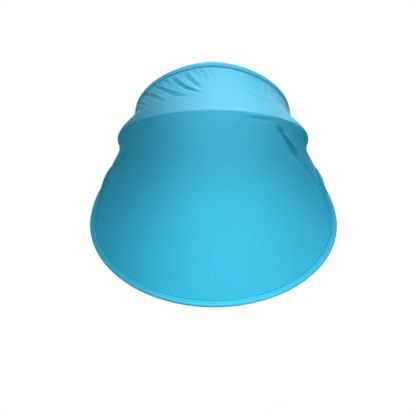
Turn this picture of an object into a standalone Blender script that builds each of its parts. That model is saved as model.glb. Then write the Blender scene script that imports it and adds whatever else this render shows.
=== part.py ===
# A pull-on sun shade for a pram hood, in metres: a hood section that stretches over the front of the pram's
# hood, and a wide peak whose cloth is stretched from the ridge to a sprung wire rim.
# The origin is the middle of the ridge, where the cloth folds over the hood's front bow.
# +X is to the right as seen from the front, -Y points forwards and +Z up.

import functools
import math

import bmesh
import bpy
import numpy as np

MM = 0.001

# Cloth and sewing
CLOTH = 1.0 * MM
TAPE = 0.9 * MM
FIT_GAP = 0.3 * MM
SEAM_START = 0.6 * MM

# Ridge: half an ellipse over the bow, then two legs that tuck in to the flanks
BOW_LEAN = math.radians(18.2)
RIDGE_HALF_WIDTH = 192 * MM
RIDGE_RISE = 57 * MM
LEG_TUCK = 10 * MM
LEG_TUCKED_AT = 74 * MM
LEG_END = 125 * MM
RIDGE_TAPE_WING = 5 * MM
RIDGE_TAPE_GAP = 0.6 * MM

# Rear hem: an arch behind the ridge with short straight legs, folded over an elastic
HEM_BACK = 112 * MM
HEM_UP = 77.5 * MM
HEM_LEAN = math.radians(6.9)
HEM_HALF_WIDTH = 170 * MM
HEM_RISE = 100 * MM
HEM_LEG = 9 * MM
HEM_ROUNDNESS = 1.78
HEM_BAND = 9 * MM
HEM_OVERLAP = 2.5 * MM
ELASTIC_THICKNESS = 0.8 * MM
HEM_ON_ARCH = 0.86

# Waist: how far the cloth behind the ridge's ends draws in, fading out down the legs
HOOD_WAIST = 9 * MM
WAIST_FROM = 0.45
WAIST_FULL = 0.85
WAIST_GONE = 1.35

# Lower edges of the flanks
SIDE_BAND = 8 * MM
SIDE_BAND_THICKNESS = 2.4 * MM

# Gathers that the elastic draws into the left of the hood section
GATHER_COUNT = 5
GATHER_DEPTH = 1.6 * MM
GATHER_FROM = -0.96
GATHER_TO = -0.26
GATHER_LEAN = 0.22
GATHER_REACH = 0.6
GATHER_EASE_OUTER = 0.2
GATHER_EASE_INNER = 0.33
GATHER_EASE_HEM = 0.11
GATHER_CROWDING = 1.4

# Peak: a rim in a plane through the two pivots, widest part way along
PIVOT_BACK = -14 * MM
PIVOT_UP = -79 * MM
RIM_SLOPE = math.radians(31.9)
RIM_HALF_WIDTH = 223.7 * MM
RIM_WIDEST_AT = 158 * MM
RIM_REACH = 330 * MM
RIM_ROUNDNESS = 2.0
RIM_FLARE = 1.0
PEAK_DRAW = 1.5
PEAK_SAG = 14 * MM
SAG_SKEW = 0.8
PEAK_TUCK = 7.5 * MM
TUCK_FROM = 0.5
TUCK_FULL = 0.95
TUCK_GONE = 1.15
PEAK_LEG_END = 84 * MM
PEAK_RIM_START = 40 * MM

# Rim wire and the folded tape that holds it
WIRE_RADIUS = 1.5 * MM
WIRE_LEAD = 26 * MM
WIRE_BEND = 3.5 * MM
WIRE_TO_FLANK = 1.0 * MM
RIM_BAND = 7 * MM
RIM_CLOTH_START = 2.4 * MM
BAND_TAPER = 1.5 * MM
BAND_MOUTH_OUTSIDE = 70
BAND_MOUTH_INSIDE = 60

# Pivots: a sewn pocket, an eyelet through it and a cap on the wire's end
POCKET_FORWARD = 8 * MM
POCKET_BACK = 10 * MM
POCKET_UP = 9 * MM
POCKET_DOWN = 13 * MM
POCKET_WALL = 1.2 * MM
EYELET_FLANGE_RADIUS = 6 * MM
EYELET_FLANGE = 0.8 * MM
EYELET_TUBE_RADIUS = 3.2 * MM
EYELET_PLAY = 0.1 * MM
CAP_RADIUS = 4 * MM
CAP_LENGTH = 5 * MM
CAP_DEPTH = 3.8 * MM
CAP_CHAMFER = 1 * MM

# Corner straps: webbing closed in a loop round a tube of the pram's frame
STRAP_WIDTH = 18 * MM
STRAP_THICKNESS = 1.5 * MM
STRAP_SEWN = 9 * MM
STRAP_ABOVE_CORNER = 1 * MM
STRAP_TO_HEM = 1.0 * MM
STRAP_STRAIGHT = 20 * MM
FRAME_TUBE = 26 * MM
LOOP_BEHIND_HEM = 4 * MM
TAIL_SHORT_BY = 2 * MM
PATCH_THICKNESS = 1.0 * MM
PATCH_LENGTH = 16 * MM
PATCH_INSET = 1 * MM

# Fineness of the meshes
HOOD_ARCH_STEPS = 40
HOOD_LEG_STEPS = 3
HOOD_ROWS = 9
PEAK_ARCH_STEPS = 20
PEAK_LEG_STEPS = 4
PEAK_ROWS = 10
CURVE_SAMPLES = 1200
ROUND_STEPS = 28
BAND_ROUND_STEPS = 8
LOOP_STEPS = 12
WIRE_BEND_STEPS = 5
RIM_EVENING = 6
CUT_BEYOND = 5 * MM
FLANK_SEARCH = 12 * MM

BLUE = (0.07, 0.48, 0.70, 1)
DARK_BLUE = (0.05, 0.38, 0.58, 1)
BLACK = (0.02, 0.02, 0.022, 1)
WHITE = (0.8, 0.82, 0.84, 1)
STEEL = (0.6, 0.61, 0.63, 1)


def smooth_step(share):
    share = np.clip(share, 0, 1)
    return share * share * (3 - 2 * share)


def unit(vectors):
    return vectors / np.linalg.norm(vectors, axis=-1, keepdims=True)


def across(vectors, along):
    """The vectors with their part along the given unit vectors taken out, at unit length."""
    return unit(vectors - np.sum(vectors * along, axis=-1, keepdims=True) * along)


def lengths_along(points):
    steps = np.linalg.norm(np.diff(points, axis=0), axis=1)
    return np.concatenate([[0], np.cumsum(steps)])


def at_shares(points, shares):
    """Points at these shares of a polyline's length."""
    lengths = lengths_along(points)
    wanted = np.asarray(shares) * lengths[-1]
    return np.column_stack([np.interp(wanted, lengths, points[:, axis]) for axis in range(3)])


def ridge_at(places):
    """The ridge at places from -2 to 2: the arch lies from -1 to 1, and the legs beyond it."""
    places = np.asarray(places, float)
    arch = np.clip(np.abs(places), 0, 1) * math.pi / 2
    leg = np.clip(np.abs(places) - 1, 0, 1)
    depth = RIDGE_RISE * (1 - np.cos(arch)) + leg * (LEG_END - RIDGE_RISE)
    tuck = smooth_step((depth - RIDGE_RISE) / (LEG_TUCKED_AT - RIDGE_RISE))
    half = RIDGE_HALF_WIDTH * np.sin(arch) - LEG_TUCK * tuck * (leg > 0)
    return np.column_stack(
        [np.sign(places) * half, -depth * math.sin(BOW_LEAN), -depth * math.cos(BOW_LEAN)]
    )


def hem_curve():
    """The hem's fold from the left corner to the right one."""
    angle = np.linspace(0, math.pi / 2, CURVE_SAMPLES)
    power = 2 / HEM_ROUNDNESS
    half = np.append(HEM_HALF_WIDTH * np.sin(angle) ** power, HEM_HALF_WIDTH)
    depth = np.append(HEM_RISE * (1 - np.cos(angle) ** power), HEM_RISE + HEM_LEG)
    right = np.column_stack(
        [half, HEM_BACK - depth * math.sin(HEM_LEAN), HEM_UP - depth * math.cos(HEM_LEAN)]
    )
    return np.vstack([right[:0:-1] * (-1, 1, 1), right])


def rim_plane(half, out):
    """Points of the rim's plane: half to the side, and out from the pivots' axis."""
    return np.column_stack(
        [half, PIVOT_BACK - out * math.cos(RIM_SLOPE), PIVOT_UP - out * math.sin(RIM_SLOPE)]
    )


@functools.cache
def flank_inside():
    """The least distance from the middle to the flank's inner face over the pocket."""
    grid, normals, _, _ = hood_surface()
    inner = (grid - normals * CLOTH / 2).reshape(-1, 3)
    near = (
        (inner[:, 1] > PIVOT_BACK - POCKET_FORWARD - FLANK_SEARCH)
        & (inner[:, 1] < PIVOT_BACK + POCKET_BACK + FLANK_SEARCH)
        & (inner[:, 2] > PIVOT_UP - POCKET_DOWN - FLANK_SEARCH)
        & (inner[:, 2] < PIVOT_UP + POCKET_UP + FLANK_SEARCH)
    )
    return np.abs(inner[near, 0]).min()


def wire_side():
    """How far the wire lies from the middle where it passes inside the flank."""
    return flank_inside() - WIRE_TO_FLANK - WIRE_RADIUS


def rim_right():
    """The wire's line from the middle of the front to the right-hand pivot."""
    angle = np.linspace(0, math.pi / 2, CURVE_SAMPLES)
    power = 2 / RIM_ROUNDNESS
    front = RIM_WIDEST_AT + (RIM_REACH - RIM_WIDEST_AT) * np.cos(angle) ** power
    front_half = RIM_HALF_WIDTH * np.sin(angle) ** power
    share = np.linspace(1, 0, CURVE_SAMPLES)[1:]
    back = WIRE_LEAD + share * (RIM_WIDEST_AT - WIRE_LEAD)
    flare = (1 - (1 - share) ** 2) ** RIM_FLARE
    back_half = wire_side() + (RIM_HALF_WIDTH - wire_side()) * flare
    half = np.concatenate([front_half, back_half, [wire_side()]])
    return rim_plane(half, np.concatenate([front, back, [0.0]]))


def rim_curve(start):
    """The wire's line from left to right, starting and ending this far out from the pivots."""
    right = rim_right()
    kept = right[lengths_along(right) <= lengths_along(right)[-1] - start]
    return np.vstack([kept[:0:-1] * (-1, 1, 1), kept])


def normals_of(grid):
    along = np.gradient(grid, axis=0)
    over = np.gradient(grid, axis=1)
    return unit(np.cross(along, over))


def material(name, colour, roughness, metallic=0.0):
    made = bpy.data.materials.new(name)
    made.use_nodes = True
    shader = made.node_tree.nodes["Principled BSDF"]
    shader.inputs["Base Color"].default_value = colour
    shader.inputs["Roughness"].default_value = roughness
    shader.inputs["Metallic"].default_value = metallic
    made.diffuse_color = colour
    return made


def add_object(name, points, faces, finish, parent):
    mesh = bpy.data.meshes.new(name)
    mesh.from_pydata([tuple(point) for point in points], [], [tuple(face) for face in faces])
    shell = bmesh.new()
    shell.from_mesh(mesh)
    bmesh.ops.recalc_face_normals(shell, faces=shell.faces)
    shell.to_mesh(mesh)
    shell.free()
    mesh.shade_smooth()
    mesh.set_sharp_from_angle(angle=math.radians(40))
    made = bpy.data.objects.new(name, mesh)
    bpy.context.scene.collection.objects.link(made)
    return finish_object(made, finish, parent)


def finish_object(made, finish, parent):
    made.data.materials.clear()
    made.data.materials.append(material(made.name + "_finish", *finish))
    made.parent = parent
    made.matrix_parent_inverse = parent.matrix_world.inverted()
    return made


def triangles(near, far, next_near, next_far):
    """Two triangles for each quad, split from this station's far point to the next one's near point."""
    first = np.stack([near, next_near, far], axis=-1).reshape(-1, 3)
    second = np.stack([far, next_near, next_far], axis=-1).reshape(-1, 3)
    return [tuple(face) for face in np.concatenate([first, second])]


def slab(name, upper, lower, finish, parent):
    """A closed sheet between two grids of points, whose columns run towards the sheet's edge."""
    rows, columns = upper.shape[:2]
    index = np.arange(rows * columns).reshape(rows, columns)
    front = triangles(index[:-1, 1:], index[:-1, :-1], index[1:, 1:], index[1:, :-1])
    rim = np.concatenate([index[0], index[1:, -1], index[-1, -2::-1], index[-2:0:-1, 0]])
    after = np.roll(rim, -1)
    other = rows * columns
    back = [tuple(corner + other for corner in face[::-1]) for face in front]
    walls = [tuple(wall) for wall in np.stack([rim, after, after + other, rim + other], axis=-1)]
    points = np.concatenate([upper.reshape(-1, 3), lower.reshape(-1, 3)])
    return add_object(name, points, front + back + walls, finish, parent)


def sweep(name, rings, depths, finish, parent):
    """A closed solid through rings of points, split as a sheet is: each point has its depth from the edge."""
    count, around = rings.shape[:2]
    index = np.arange(count * around).reshape(count, around)
    after = np.roll(index, -1, axis=1)
    deeper = np.roll(depths, -1) > np.asarray(depths)
    near = np.where(deeper, index, after)
    far = np.where(deeper, after, index)
    sides = triangles(near[:-1], far[:-1], near[1:], far[1:])
    return add_object(name, rings.reshape(-1, 3), sides + [tuple(index[0]), tuple(index[-1])], finish, parent)


def band_on(name, curve, along, up, profile, finish, parent):
    """A flat profile of (along, up) pairs carried along a curve."""
    profile = np.asarray(profile)
    rings = (
        curve[:, None, :]
        + profile[None, :, 0, None] * along[:, None, :]
        + profile[None, :, 1, None] * up[:, None, :]
    )
    return sweep(name, rings, profile[:, 0], finish, parent)


def evened(vectors, times):
    """The vectors averaged with their neighbours, this many times over."""
    for _ in range(times):
        middle = (vectors[:-2] + 2 * vectors[1:-1] + vectors[2:]) / 4
        vectors = np.concatenate([vectors[:1], middle, vectors[-1:]])
    return vectors


def edge_frames(curve, inside, outward, times=0):
    """Unit vectors along an edge, from it into the cloth, and out of the cloth's face."""
    tangent = unit(np.gradient(curve, axis=0))
    inward = across(evened(across(inside - curve, tangent), times), tangent)
    up = np.cross(tangent, inward)
    up *= np.sign(np.sum(up * outward, axis=-1, keepdims=True))
    return tangent, inward, up


def peak_places():
    """Places along the part of the ridge that the peak is sewn to."""
    arch = np.linspace(-1, 1, 2 * PEAK_ARCH_STEPS + 1)
    leg = 1 + np.arange(1, PEAK_LEG_STEPS + 1) / PEAK_LEG_STEPS * peak_leg_share()
    return np.concatenate([-leg[::-1], arch, leg])


def peak_leg_share():
    """The share of the ridge's leg that the peak is sewn to."""
    return (PEAK_LEG_END - RIDGE_RISE) / (LEG_END - RIDGE_RISE)


def hood_places():
    """Places along the whole ridge, crowded where the gathers are."""
    fine = np.linspace(-1, 1, CURVE_SAMPLES)
    gather_middle = (GATHER_FROM + GATHER_TO) / 2
    gather_width = (GATHER_TO - GATHER_FROM) / 2
    weight = 1 + GATHER_CROWDING * np.exp(-(((fine - gather_middle) / gather_width) ** 2))
    total = np.concatenate([[0], np.cumsum((weight[1:] + weight[:-1]) / 2)])
    arch = np.interp(np.linspace(0, total[-1], HOOD_ARCH_STEPS + 1), total, fine)
    shared = peak_places()[-PEAK_LEG_STEPS:]
    below = np.linspace(shared[-1], 2, HOOD_LEG_STEPS + 1)[1:]
    leg = np.concatenate([shared, below])
    return np.concatenate([-leg[::-1], arch, leg])


def hem_shares(places):
    """Where on the hem each place of the ridge is sewn to, as a share of the hem's length."""
    fine = np.linspace(0, 1, CURVE_SAMPLES)
    arch = lengths_along(ridge_at(fine))
    on_arch = np.interp(np.clip(np.abs(places), 0, 1), fine, arch / arch[-1])
    on_leg = np.clip(np.abs(places) - 1, 0, 1)
    half = HEM_ON_ARCH * on_arch + (1 - HEM_ON_ARCH) * on_leg
    return 0.5 + 0.5 * np.sign(places) * half


def gathers(places, share):
    """How far the cloth rises at each place and share of the way from the ridge to the hem."""
    swept = places[:, None] - GATHER_LEAN * (1 - share[None, :])
    phase = (swept - GATHER_FROM) / (GATHER_TO - GATHER_FROM)
    inside = smooth_step(phase / GATHER_EASE_OUTER) * smooth_step((1 - phase) / GATHER_EASE_INNER)
    near_hem = smooth_step((share - (1 - GATHER_REACH)) / GATHER_REACH)
    at_hem = smooth_step((1 - share) / GATHER_EASE_HEM)
    return GATHER_DEPTH * np.sin(2 * math.pi * GATHER_COUNT * phase) * inside * near_hem * at_hem


def draw_in(grid, places, share, depth, limits):
    """Move the sides of a cloth inwards, most half way over it, between these limits along the ridge."""
    start, full, gone = limits
    side = np.abs(places)
    drawn = smooth_step((side - start) / (full - start))
    drawn *= 1 - smooth_step((side - 1) / (gone - 1))
    grid[..., 0] -= depth * (np.sign(places) * drawn)[:, None] * np.sin(math.pi * share) ** 2


def stretched_hood(places):
    """The hood section without its gathers: each place of the ridge drawn across to the hem."""
    ridge = ridge_at(places)
    hem = at_shares(hem_curve(), hem_shares(places))
    share = np.linspace(0, 1, HOOD_ROWS + 1)
    eased = np.stack([smooth_step(share), share, share], axis=-1)
    grid = ridge[:, None, :] * (1 - eased) + hem[:, None, :] * eased
    draw_in(grid, places, share[None, :], HOOD_WAIST, (WAIST_FROM, WAIST_FULL, WAIST_GONE))
    return grid, share


def hood_surface():
    """The hood section's middle surface, its normals, the hem's line and the frames along the hem."""
    places = hood_places()
    grid, share = stretched_hood(places)
    hem = grid[:, -1].copy()
    normals = normals_of(grid)
    frames = edge_frames(hem, grid[:, -2], normals[:, -1])
    grid = grid + normals * gathers(places, share)[..., None]
    grid[:, 0] += SEAM_START * unit(grid[:, 1] - grid[:, 0])
    flat = [hem + depth * frames[1] for depth in (HEM_BAND, HEM_BAND - HEM_OVERLAP)]
    grid = np.concatenate([grid[:, :-1], np.stack(flat, axis=1)], axis=1)
    normals = np.concatenate([normals[:, :-1], np.stack([frames[2]] * 2, axis=1)], axis=1)
    return grid, normals, hem, frames


def sag_shape(share):
    """How far the peak hangs in at shares of the way from the ridge to the rim, 1 where it is deepest."""
    deepest = SAG_SKEW / (1 + SAG_SKEW)
    return share**SAG_SKEW * (1 - share) / (deepest**SAG_SKEW * (1 - deepest))


def peak_surface():
    """The peak's middle surface, its normals, and the ridge's and the rim's lines with the rim's frames."""
    ridge = ridge_at(peak_places())
    lengths = lengths_along(ridge)
    side = 2 * lengths / lengths[-1] - 1
    drawn = np.sign(side) * (1 - (1 - np.abs(side)) ** PEAK_DRAW)
    rim = at_shares(rim_curve(PEAK_RIM_START), (1 + drawn) / 2)
    reach = rim - ridge
    tangent = unit(np.gradient(rim, axis=0))
    square = np.linalg.norm(reach - np.sum(reach * tangent, axis=1, keepdims=True) * tangent, axis=1)
    flat = (RIM_BAND + FIT_GAP) / square
    even = np.linspace(0, 1, PEAK_ROWS + 1)[None, :]
    share = even * (1 - flat[:, None])
    grid = ridge[:, None, :] * (1 - share[..., None]) + rim[:, None, :] * share[..., None]
    draw_in(grid, peak_places(), even, PEAK_TUCK, (TUCK_FROM, TUCK_FULL, TUCK_GONE))
    normals = -normals_of(grid)
    sag = PEAK_SAG * (1 - smooth_step(np.abs(side)))[:, None] * sag_shape(share)
    grid = grid - normals * sag[..., None]
    normals = -normals_of(grid)
    frames = edge_frames(rim, grid[:, -1], normals[:, -1], RIM_EVENING)
    grid[:, 0] += SEAM_START * unit(grid[:, 1] - grid[:, 0])
    grid[:, -1] = rim + (RIM_BAND + FIT_GAP) * frames[1]
    grid = np.concatenate([grid, (rim + RIM_CLOTH_START * frames[1])[:, None]], axis=1)
    normals = np.concatenate([normals[:, :-1], np.stack([frames[2]] * 2, axis=1)], axis=1)
    return grid, normals, ridge, rim, frames


def cloth_sheet(name, grid, normals, parent):
    half = normals * CLOTH / 2
    return slab(name, grid + half, grid - half, (BLUE, 0.7), parent)


def folded_band(depth, room, leg):
    """The outline of a tape folded over an edge: depth deep, with room on each side of the middle."""
    outer = room + leg
    low = [(-leg, -outer), (depth, -outer), (depth, -room), (0, -room)]
    return low + [(along, -up) for along, up in low[::-1]]


def wire_band():
    """The outline of the rim's tape: round over the wire, then flat on both faces of the cloth."""
    room = WIRE_RADIUS + FIT_GAP
    slot = CLOTH / 2 + FIT_GAP
    neck = RIM_CLOTH_START
    outer = arc((0, 0), room + TAPE, BAND_MOUTH_OUTSIDE, 360 - BAND_MOUTH_OUTSIDE, BAND_ROUND_STEPS)
    inner = arc((0, 0), room, 360 - BAND_MOUTH_INSIDE, BAND_MOUTH_INSIDE, BAND_ROUND_STEPS)
    low = [(neck + BAND_TAPER, -slot - TAPE), (RIM_BAND, -slot - TAPE), (RIM_BAND, -slot), (neck, -slot)]
    high = [(along, -up) for along, up in low[::-1]]
    return np.concatenate([outer, low, inner, high])


def make_hood(parent):
    grid, normals, hem, (_, inward, up) = hood_surface()
    cloth_sheet("hood_panel", grid, normals, parent)
    band = folded_band(HEM_BAND, CLOTH / 2 + FIT_GAP, TAPE)
    band_on("rear_hem", hem, inward, up, band, (BLUE, 0.7), parent)
    wide = HEM_BAND - HEM_OVERLAP - FIT_GAP
    thin = ELASTIC_THICKNESS / 2
    strip = [(FIT_GAP, -thin), (wide, -thin), (wide, thin), (FIT_GAP, thin)]
    band_on("rear_elastic", hem, inward, up, strip, (WHITE, 0.8), parent)
    for side, end in (("left", 0), ("right", -1)):
        make_side_band(side, grid, normals, end, parent)


def make_side_band(side, grid, normals, end, parent):
    """The hem along the lower edge of one flank, up to the rear hem."""
    edge = grid[end, :-1]
    following = grid[1 if end == 0 else -2, :-1]
    tangent = unit(np.gradient(edge, axis=0))
    down = across(edge - following, tangent)
    half = SIDE_BAND_THICKNESS / 2
    outline = [(FIT_GAP, -half), (SIDE_BAND, -half), (SIDE_BAND, half), (FIT_GAP, half)]
    up = across(normals[end, :-1], tangent)
    band_on("side_binding_" + side, edge, down, up, outline, (BLUE, 0.7), parent)


def make_ridge_tape(peak_grid, ridge, parent):
    """A tape sewn inside the fold, with one wing under each cloth."""
    tangent = unit(np.gradient(ridge, axis=0))
    hood, _ = stretched_hood(peak_places())
    backward = unit(hood[:, 1] - hood[:, 0])
    forward = unit(peak_grid[:, 1] - peak_grid[:, 0])
    hood_up = unit(np.cross(tangent, backward))
    peak_up = unit(np.cross(forward, tangent))
    fold_up = unit(hood_up + peak_up)
    slant = np.sum(fold_up * hood_up, axis=-1, keepdims=True)

    def under_fold(drop):
        return [
            ridge + RIDGE_TAPE_WING * backward - drop * hood_up,
            ridge - drop / slant * fold_up,
            ridge + RIDGE_TAPE_WING * forward - drop * peak_up,
        ]

    near = CLOTH / 2 + RIDGE_TAPE_GAP
    rings = np.stack(under_fold(near) + under_fold(near + TAPE)[::-1], axis=1)
    depths = [RIDGE_TAPE_WING, 0, RIDGE_TAPE_WING] * 2
    sweep("ridge_tape", rings, depths, (DARK_BLUE, 0.7), parent)


def make_peak(parent):
    grid, normals, ridge, rim, frames = peak_surface()
    cloth_sheet("visor_panel", grid, normals, parent)
    band_on("rim_binding", rim, frames[1], frames[2], wire_band(), (BLUE, 0.6), parent)
    return grid, ridge, rim


def wire_path(rim):
    """The wire's line: the rim, then straight leads whose ends are bent inwards along the pivots' axis."""
    right = rim_right()
    lengths = lengths_along(right)
    out_from_pivot = lengths[-1] - lengths
    wanted = [(PEAK_RIM_START + WIRE_LEAD) / 2, WIRE_LEAD]
    leads = np.interp(wanted, out_from_pivot[::-1], np.arange(len(right))[::-1])
    run = np.vstack([rim[len(rim) // 2 :], right[np.round(leads).astype(int)]])
    turn = np.radians(np.linspace(0, 90, WIRE_BEND_STEPS + 1))
    bend = rim_plane(wire_side() - WIRE_BEND * (1 - np.cos(turn)), WIRE_BEND * (1 - np.sin(turn)))
    end = rim_plane(np.array([stub_end()]), np.array([0.0]))
    half = np.vstack([run, bend, end])
    return np.vstack([half[:0:-1] * (-1, 1, 1), half])


def pivot_stack():
    """Places across the pivot, as distances from the middle: each pair is an outer and an inner face."""
    straight = wire_side() - WIRE_BEND - FIT_GAP
    outer_flange = (straight, straight - EYELET_FLANGE)
    plate = (outer_flange[1] - FIT_GAP, outer_flange[1] - FIT_GAP - POCKET_WALL)
    inner_flange = (plate[1] - FIT_GAP, plate[1] - FIT_GAP - EYELET_FLANGE)
    cap = (inner_flange[1] - FIT_GAP, inner_flange[1] - FIT_GAP - CAP_LENGTH)
    return outer_flange, plate, inner_flange, cap


def stub_end():
    return pivot_stack()[3][0] - CAP_DEPTH + FIT_GAP


def make_wire(rim, parent):
    path = wire_path(rim)
    curve = bpy.data.curves.new("rim_wire", "CURVE")
    curve.dimensions = "3D"
    curve.bevel_depth = WIRE_RADIUS
    curve.bevel_resolution = 2
    curve.use_fill_caps = True
    line = curve.splines.new("POLY")
    line.points.add(len(path) - 1)
    for point, place in zip(line.points, path):
        point.co = (*place, 1)
    made = bpy.data.objects.new("rim_wire", curve)
    bpy.context.scene.collection.objects.link(made)
    finish_object(made, (STEEL, 0.35, 1.0), parent)


def turned(name, sign, profile, finish, parent):
    """A solid turned about the pivots' axis from (distance from the middle, radius) pairs."""
    angles = np.linspace(0, 2 * math.pi, ROUND_STEPS, endpoint=False)
    profile = np.asarray(profile)
    rings = np.stack(
        [
            np.column_stack(
                [
                    sign * profile[:, 0],
                    PIVOT_BACK + profile[:, 1] * math.cos(angle),
                    PIVOT_UP + profile[:, 1] * math.sin(angle),
                ]
            )
            for angle in angles
        ]
    )
    count, around = rings.shape[:2]
    index = np.arange(count * around).reshape(count, around)
    next_angle = np.roll(index, -1, axis=0)
    after = np.roll(index, -1, axis=1)
    after_both = np.roll(next_angle, -1, axis=1)
    faces = np.stack([index, next_angle, after_both, after], axis=-1).reshape(-1, 4)
    return add_object(name, rings.reshape(-1, 3), faces, finish, parent)


def make_eyelet(side, sign, parent):
    outer_flange, _, inner_flange, _ = pivot_stack()
    bore = WIRE_RADIUS + EYELET_PLAY
    profile = [
        (outer_flange[0], bore),
        (outer_flange[0], EYELET_FLANGE_RADIUS),
        (outer_flange[1], EYELET_FLANGE_RADIUS),
        (outer_flange[1], EYELET_TUBE_RADIUS),
        (inner_flange[0], EYELET_TUBE_RADIUS),
        (inner_flange[0], EYELET_FLANGE_RADIUS),
        (inner_flange[1], EYELET_FLANGE_RADIUS),
        (inner_flange[1], bore),
    ]
    turned("pivot_eyelet_" + side, sign, profile, (STEEL, 0.3, 1.0), parent)


def box_points(low, high):
    return [(x, y, z) for x in (low[0], high[0]) for y in (low[1], high[1]) for z in (low[2], high[2])]


BOX_FACES = [(0, 1, 3, 2), (4, 6, 7, 5), (0, 4, 5, 1), (2, 3, 7, 6), (0, 2, 6, 4), (1, 5, 7, 3)]


def cutter(name, points, faces):
    made = add_object(name, points, faces, (WHITE, 0.5), bpy.data.objects["cover"])
    made.hide_render = True
    made.display_type = "WIRE"
    return made


def cut(made, tool):
    boolean = made.modifiers.new("cut_" + tool.name, "BOOLEAN")
    boolean.operation = "DIFFERENCE"
    boolean.solver = "EXACT"
    boolean.object = tool


def make_pocket(side, sign, parent):
    """A shallow tray sewn inside the flank, open to the front, with a hole for the eyelet."""
    plate = pivot_stack()[1]
    seat = flank_inside() - FIT_GAP
    back = PIVOT_BACK + POCKET_BACK
    front = PIVOT_BACK - POCKET_FORWARD
    top = PIVOT_UP + POCKET_UP
    foot = PIVOT_UP - POCKET_DOWN
    xs = sorted((sign * plate[1], sign * seat))
    block = box_points((xs[0], front, foot), (xs[1], back, top))
    tray = add_object("pivot_pocket_" + side, block, BOX_FACES, (BLUE, 0.7), parent)
    hollow = sorted((sign * plate[0], sign * (seat + CUT_BEYOND)))
    room = box_points(
        (hollow[0], front - CUT_BEYOND, foot + POCKET_WALL),
        (hollow[1], back - POCKET_WALL, top - POCKET_WALL),
    )
    cut(tray, cutter("pocket_room_" + side, room, BOX_FACES))
    radius = EYELET_TUBE_RADIUS + FIT_GAP
    hole = turned_rod("pocket_hole_" + side, sign, plate[1] - CUT_BEYOND, plate[0] + CUT_BEYOND, radius)
    cut(tray, hole)


def turned_rod(name, sign, start, end, radius):
    """A round cutter along the pivots' axis."""
    angles = np.linspace(0, 2 * math.pi, ROUND_STEPS, endpoint=False)
    circle = np.column_stack([np.zeros(ROUND_STEPS), radius * np.cos(angles), radius * np.sin(angles)])
    ends = [circle + (sign * x, PIVOT_BACK, PIVOT_UP) for x in (start, end)]
    index = np.arange(ROUND_STEPS)
    after = np.roll(index, -1)
    sides = [(a, b, b + ROUND_STEPS, a + ROUND_STEPS) for a, b in zip(index, after)]
    faces = sides + [tuple(index[::-1]), tuple(index + ROUND_STEPS)]
    return cutter(name, np.vstack(ends), faces)


def make_cap(side, sign, parent):
    start, end = pivot_stack()[3]
    bore = WIRE_RADIUS + FIT_GAP
    floor = start - CAP_DEPTH
    angles = np.linspace(0, 2 * math.pi, ROUND_STEPS, endpoint=False)
    outline = [(floor, 0), (floor, bore), (start, bore), (start, CAP_RADIUS)]
    outline += [(end + CAP_CHAMFER, CAP_RADIUS), (end, CAP_RADIUS - CAP_CHAMFER), (end, 0)]
    points = []
    rings = []
    for x, radius in outline:
        first = len(points)
        if radius == 0:
            points.append((sign * x, PIVOT_BACK, PIVOT_UP))
            rings.append([first] * ROUND_STEPS)
            continue
        for angle in angles:
            round_place = (PIVOT_BACK + radius * math.cos(angle), PIVOT_UP + radius * math.sin(angle))
            points.append((sign * x, *round_place))
        rings.append(list(range(first, first + ROUND_STEPS)))
    faces = []
    for ring, next_ring in zip(rings, rings[1:]):
        for step in range(ROUND_STEPS):
            corners = [ring[step - 1], ring[step], next_ring[step], next_ring[step - 1]]
            faces.append(list(dict.fromkeys(corners)))
    add_object("wire_cap_" + side, points, faces, (BLACK, 0.5), parent)


def arc(centre, radius, start, end, steps):
    angles = np.radians(np.linspace(start, end, steps + 1))
    return np.column_stack([centre[0] + radius * np.cos(angles), centre[1] + radius * np.sin(angles)])


def hem_half(above_corner):
    """The hem's half width at a height above its lower corners."""
    depth = HEM_RISE + HEM_LEG - above_corner / math.cos(HEM_LEAN)
    rise = max(0.0, 1 - depth / HEM_RISE)
    return HEM_HALF_WIDTH * (1 - rise**HEM_ROUNDNESS) ** (1 / HEM_ROUNDNESS)


def strap_layout():
    """The places that the strap and its patches share, as distances from the middle and backwards."""
    band_half = CLOTH / 2 + FIT_GAP + TAPE
    hem_inside = hem_half(STRAP_ABOVE_CORNER + STRAP_WIDTH) - band_half
    outer = hem_inside - STRAP_TO_HEM - STRAP_THICKNESS / 2
    layer = STRAP_THICKNESS + 2 * PATCH_THICKNESS + 3 * FIT_GAP
    tail = outer - layer
    inner = tail - FRAME_TUBE - STRAP_THICKNESS
    hem_back = HEM_BACK - HEM_RISE * math.sin(HEM_LEAN)
    loop_start = hem_back + LOOP_BEHIND_HEM
    return outer, tail, inner, hem_back, loop_start, loop_start + STRAP_STRAIGHT


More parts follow.
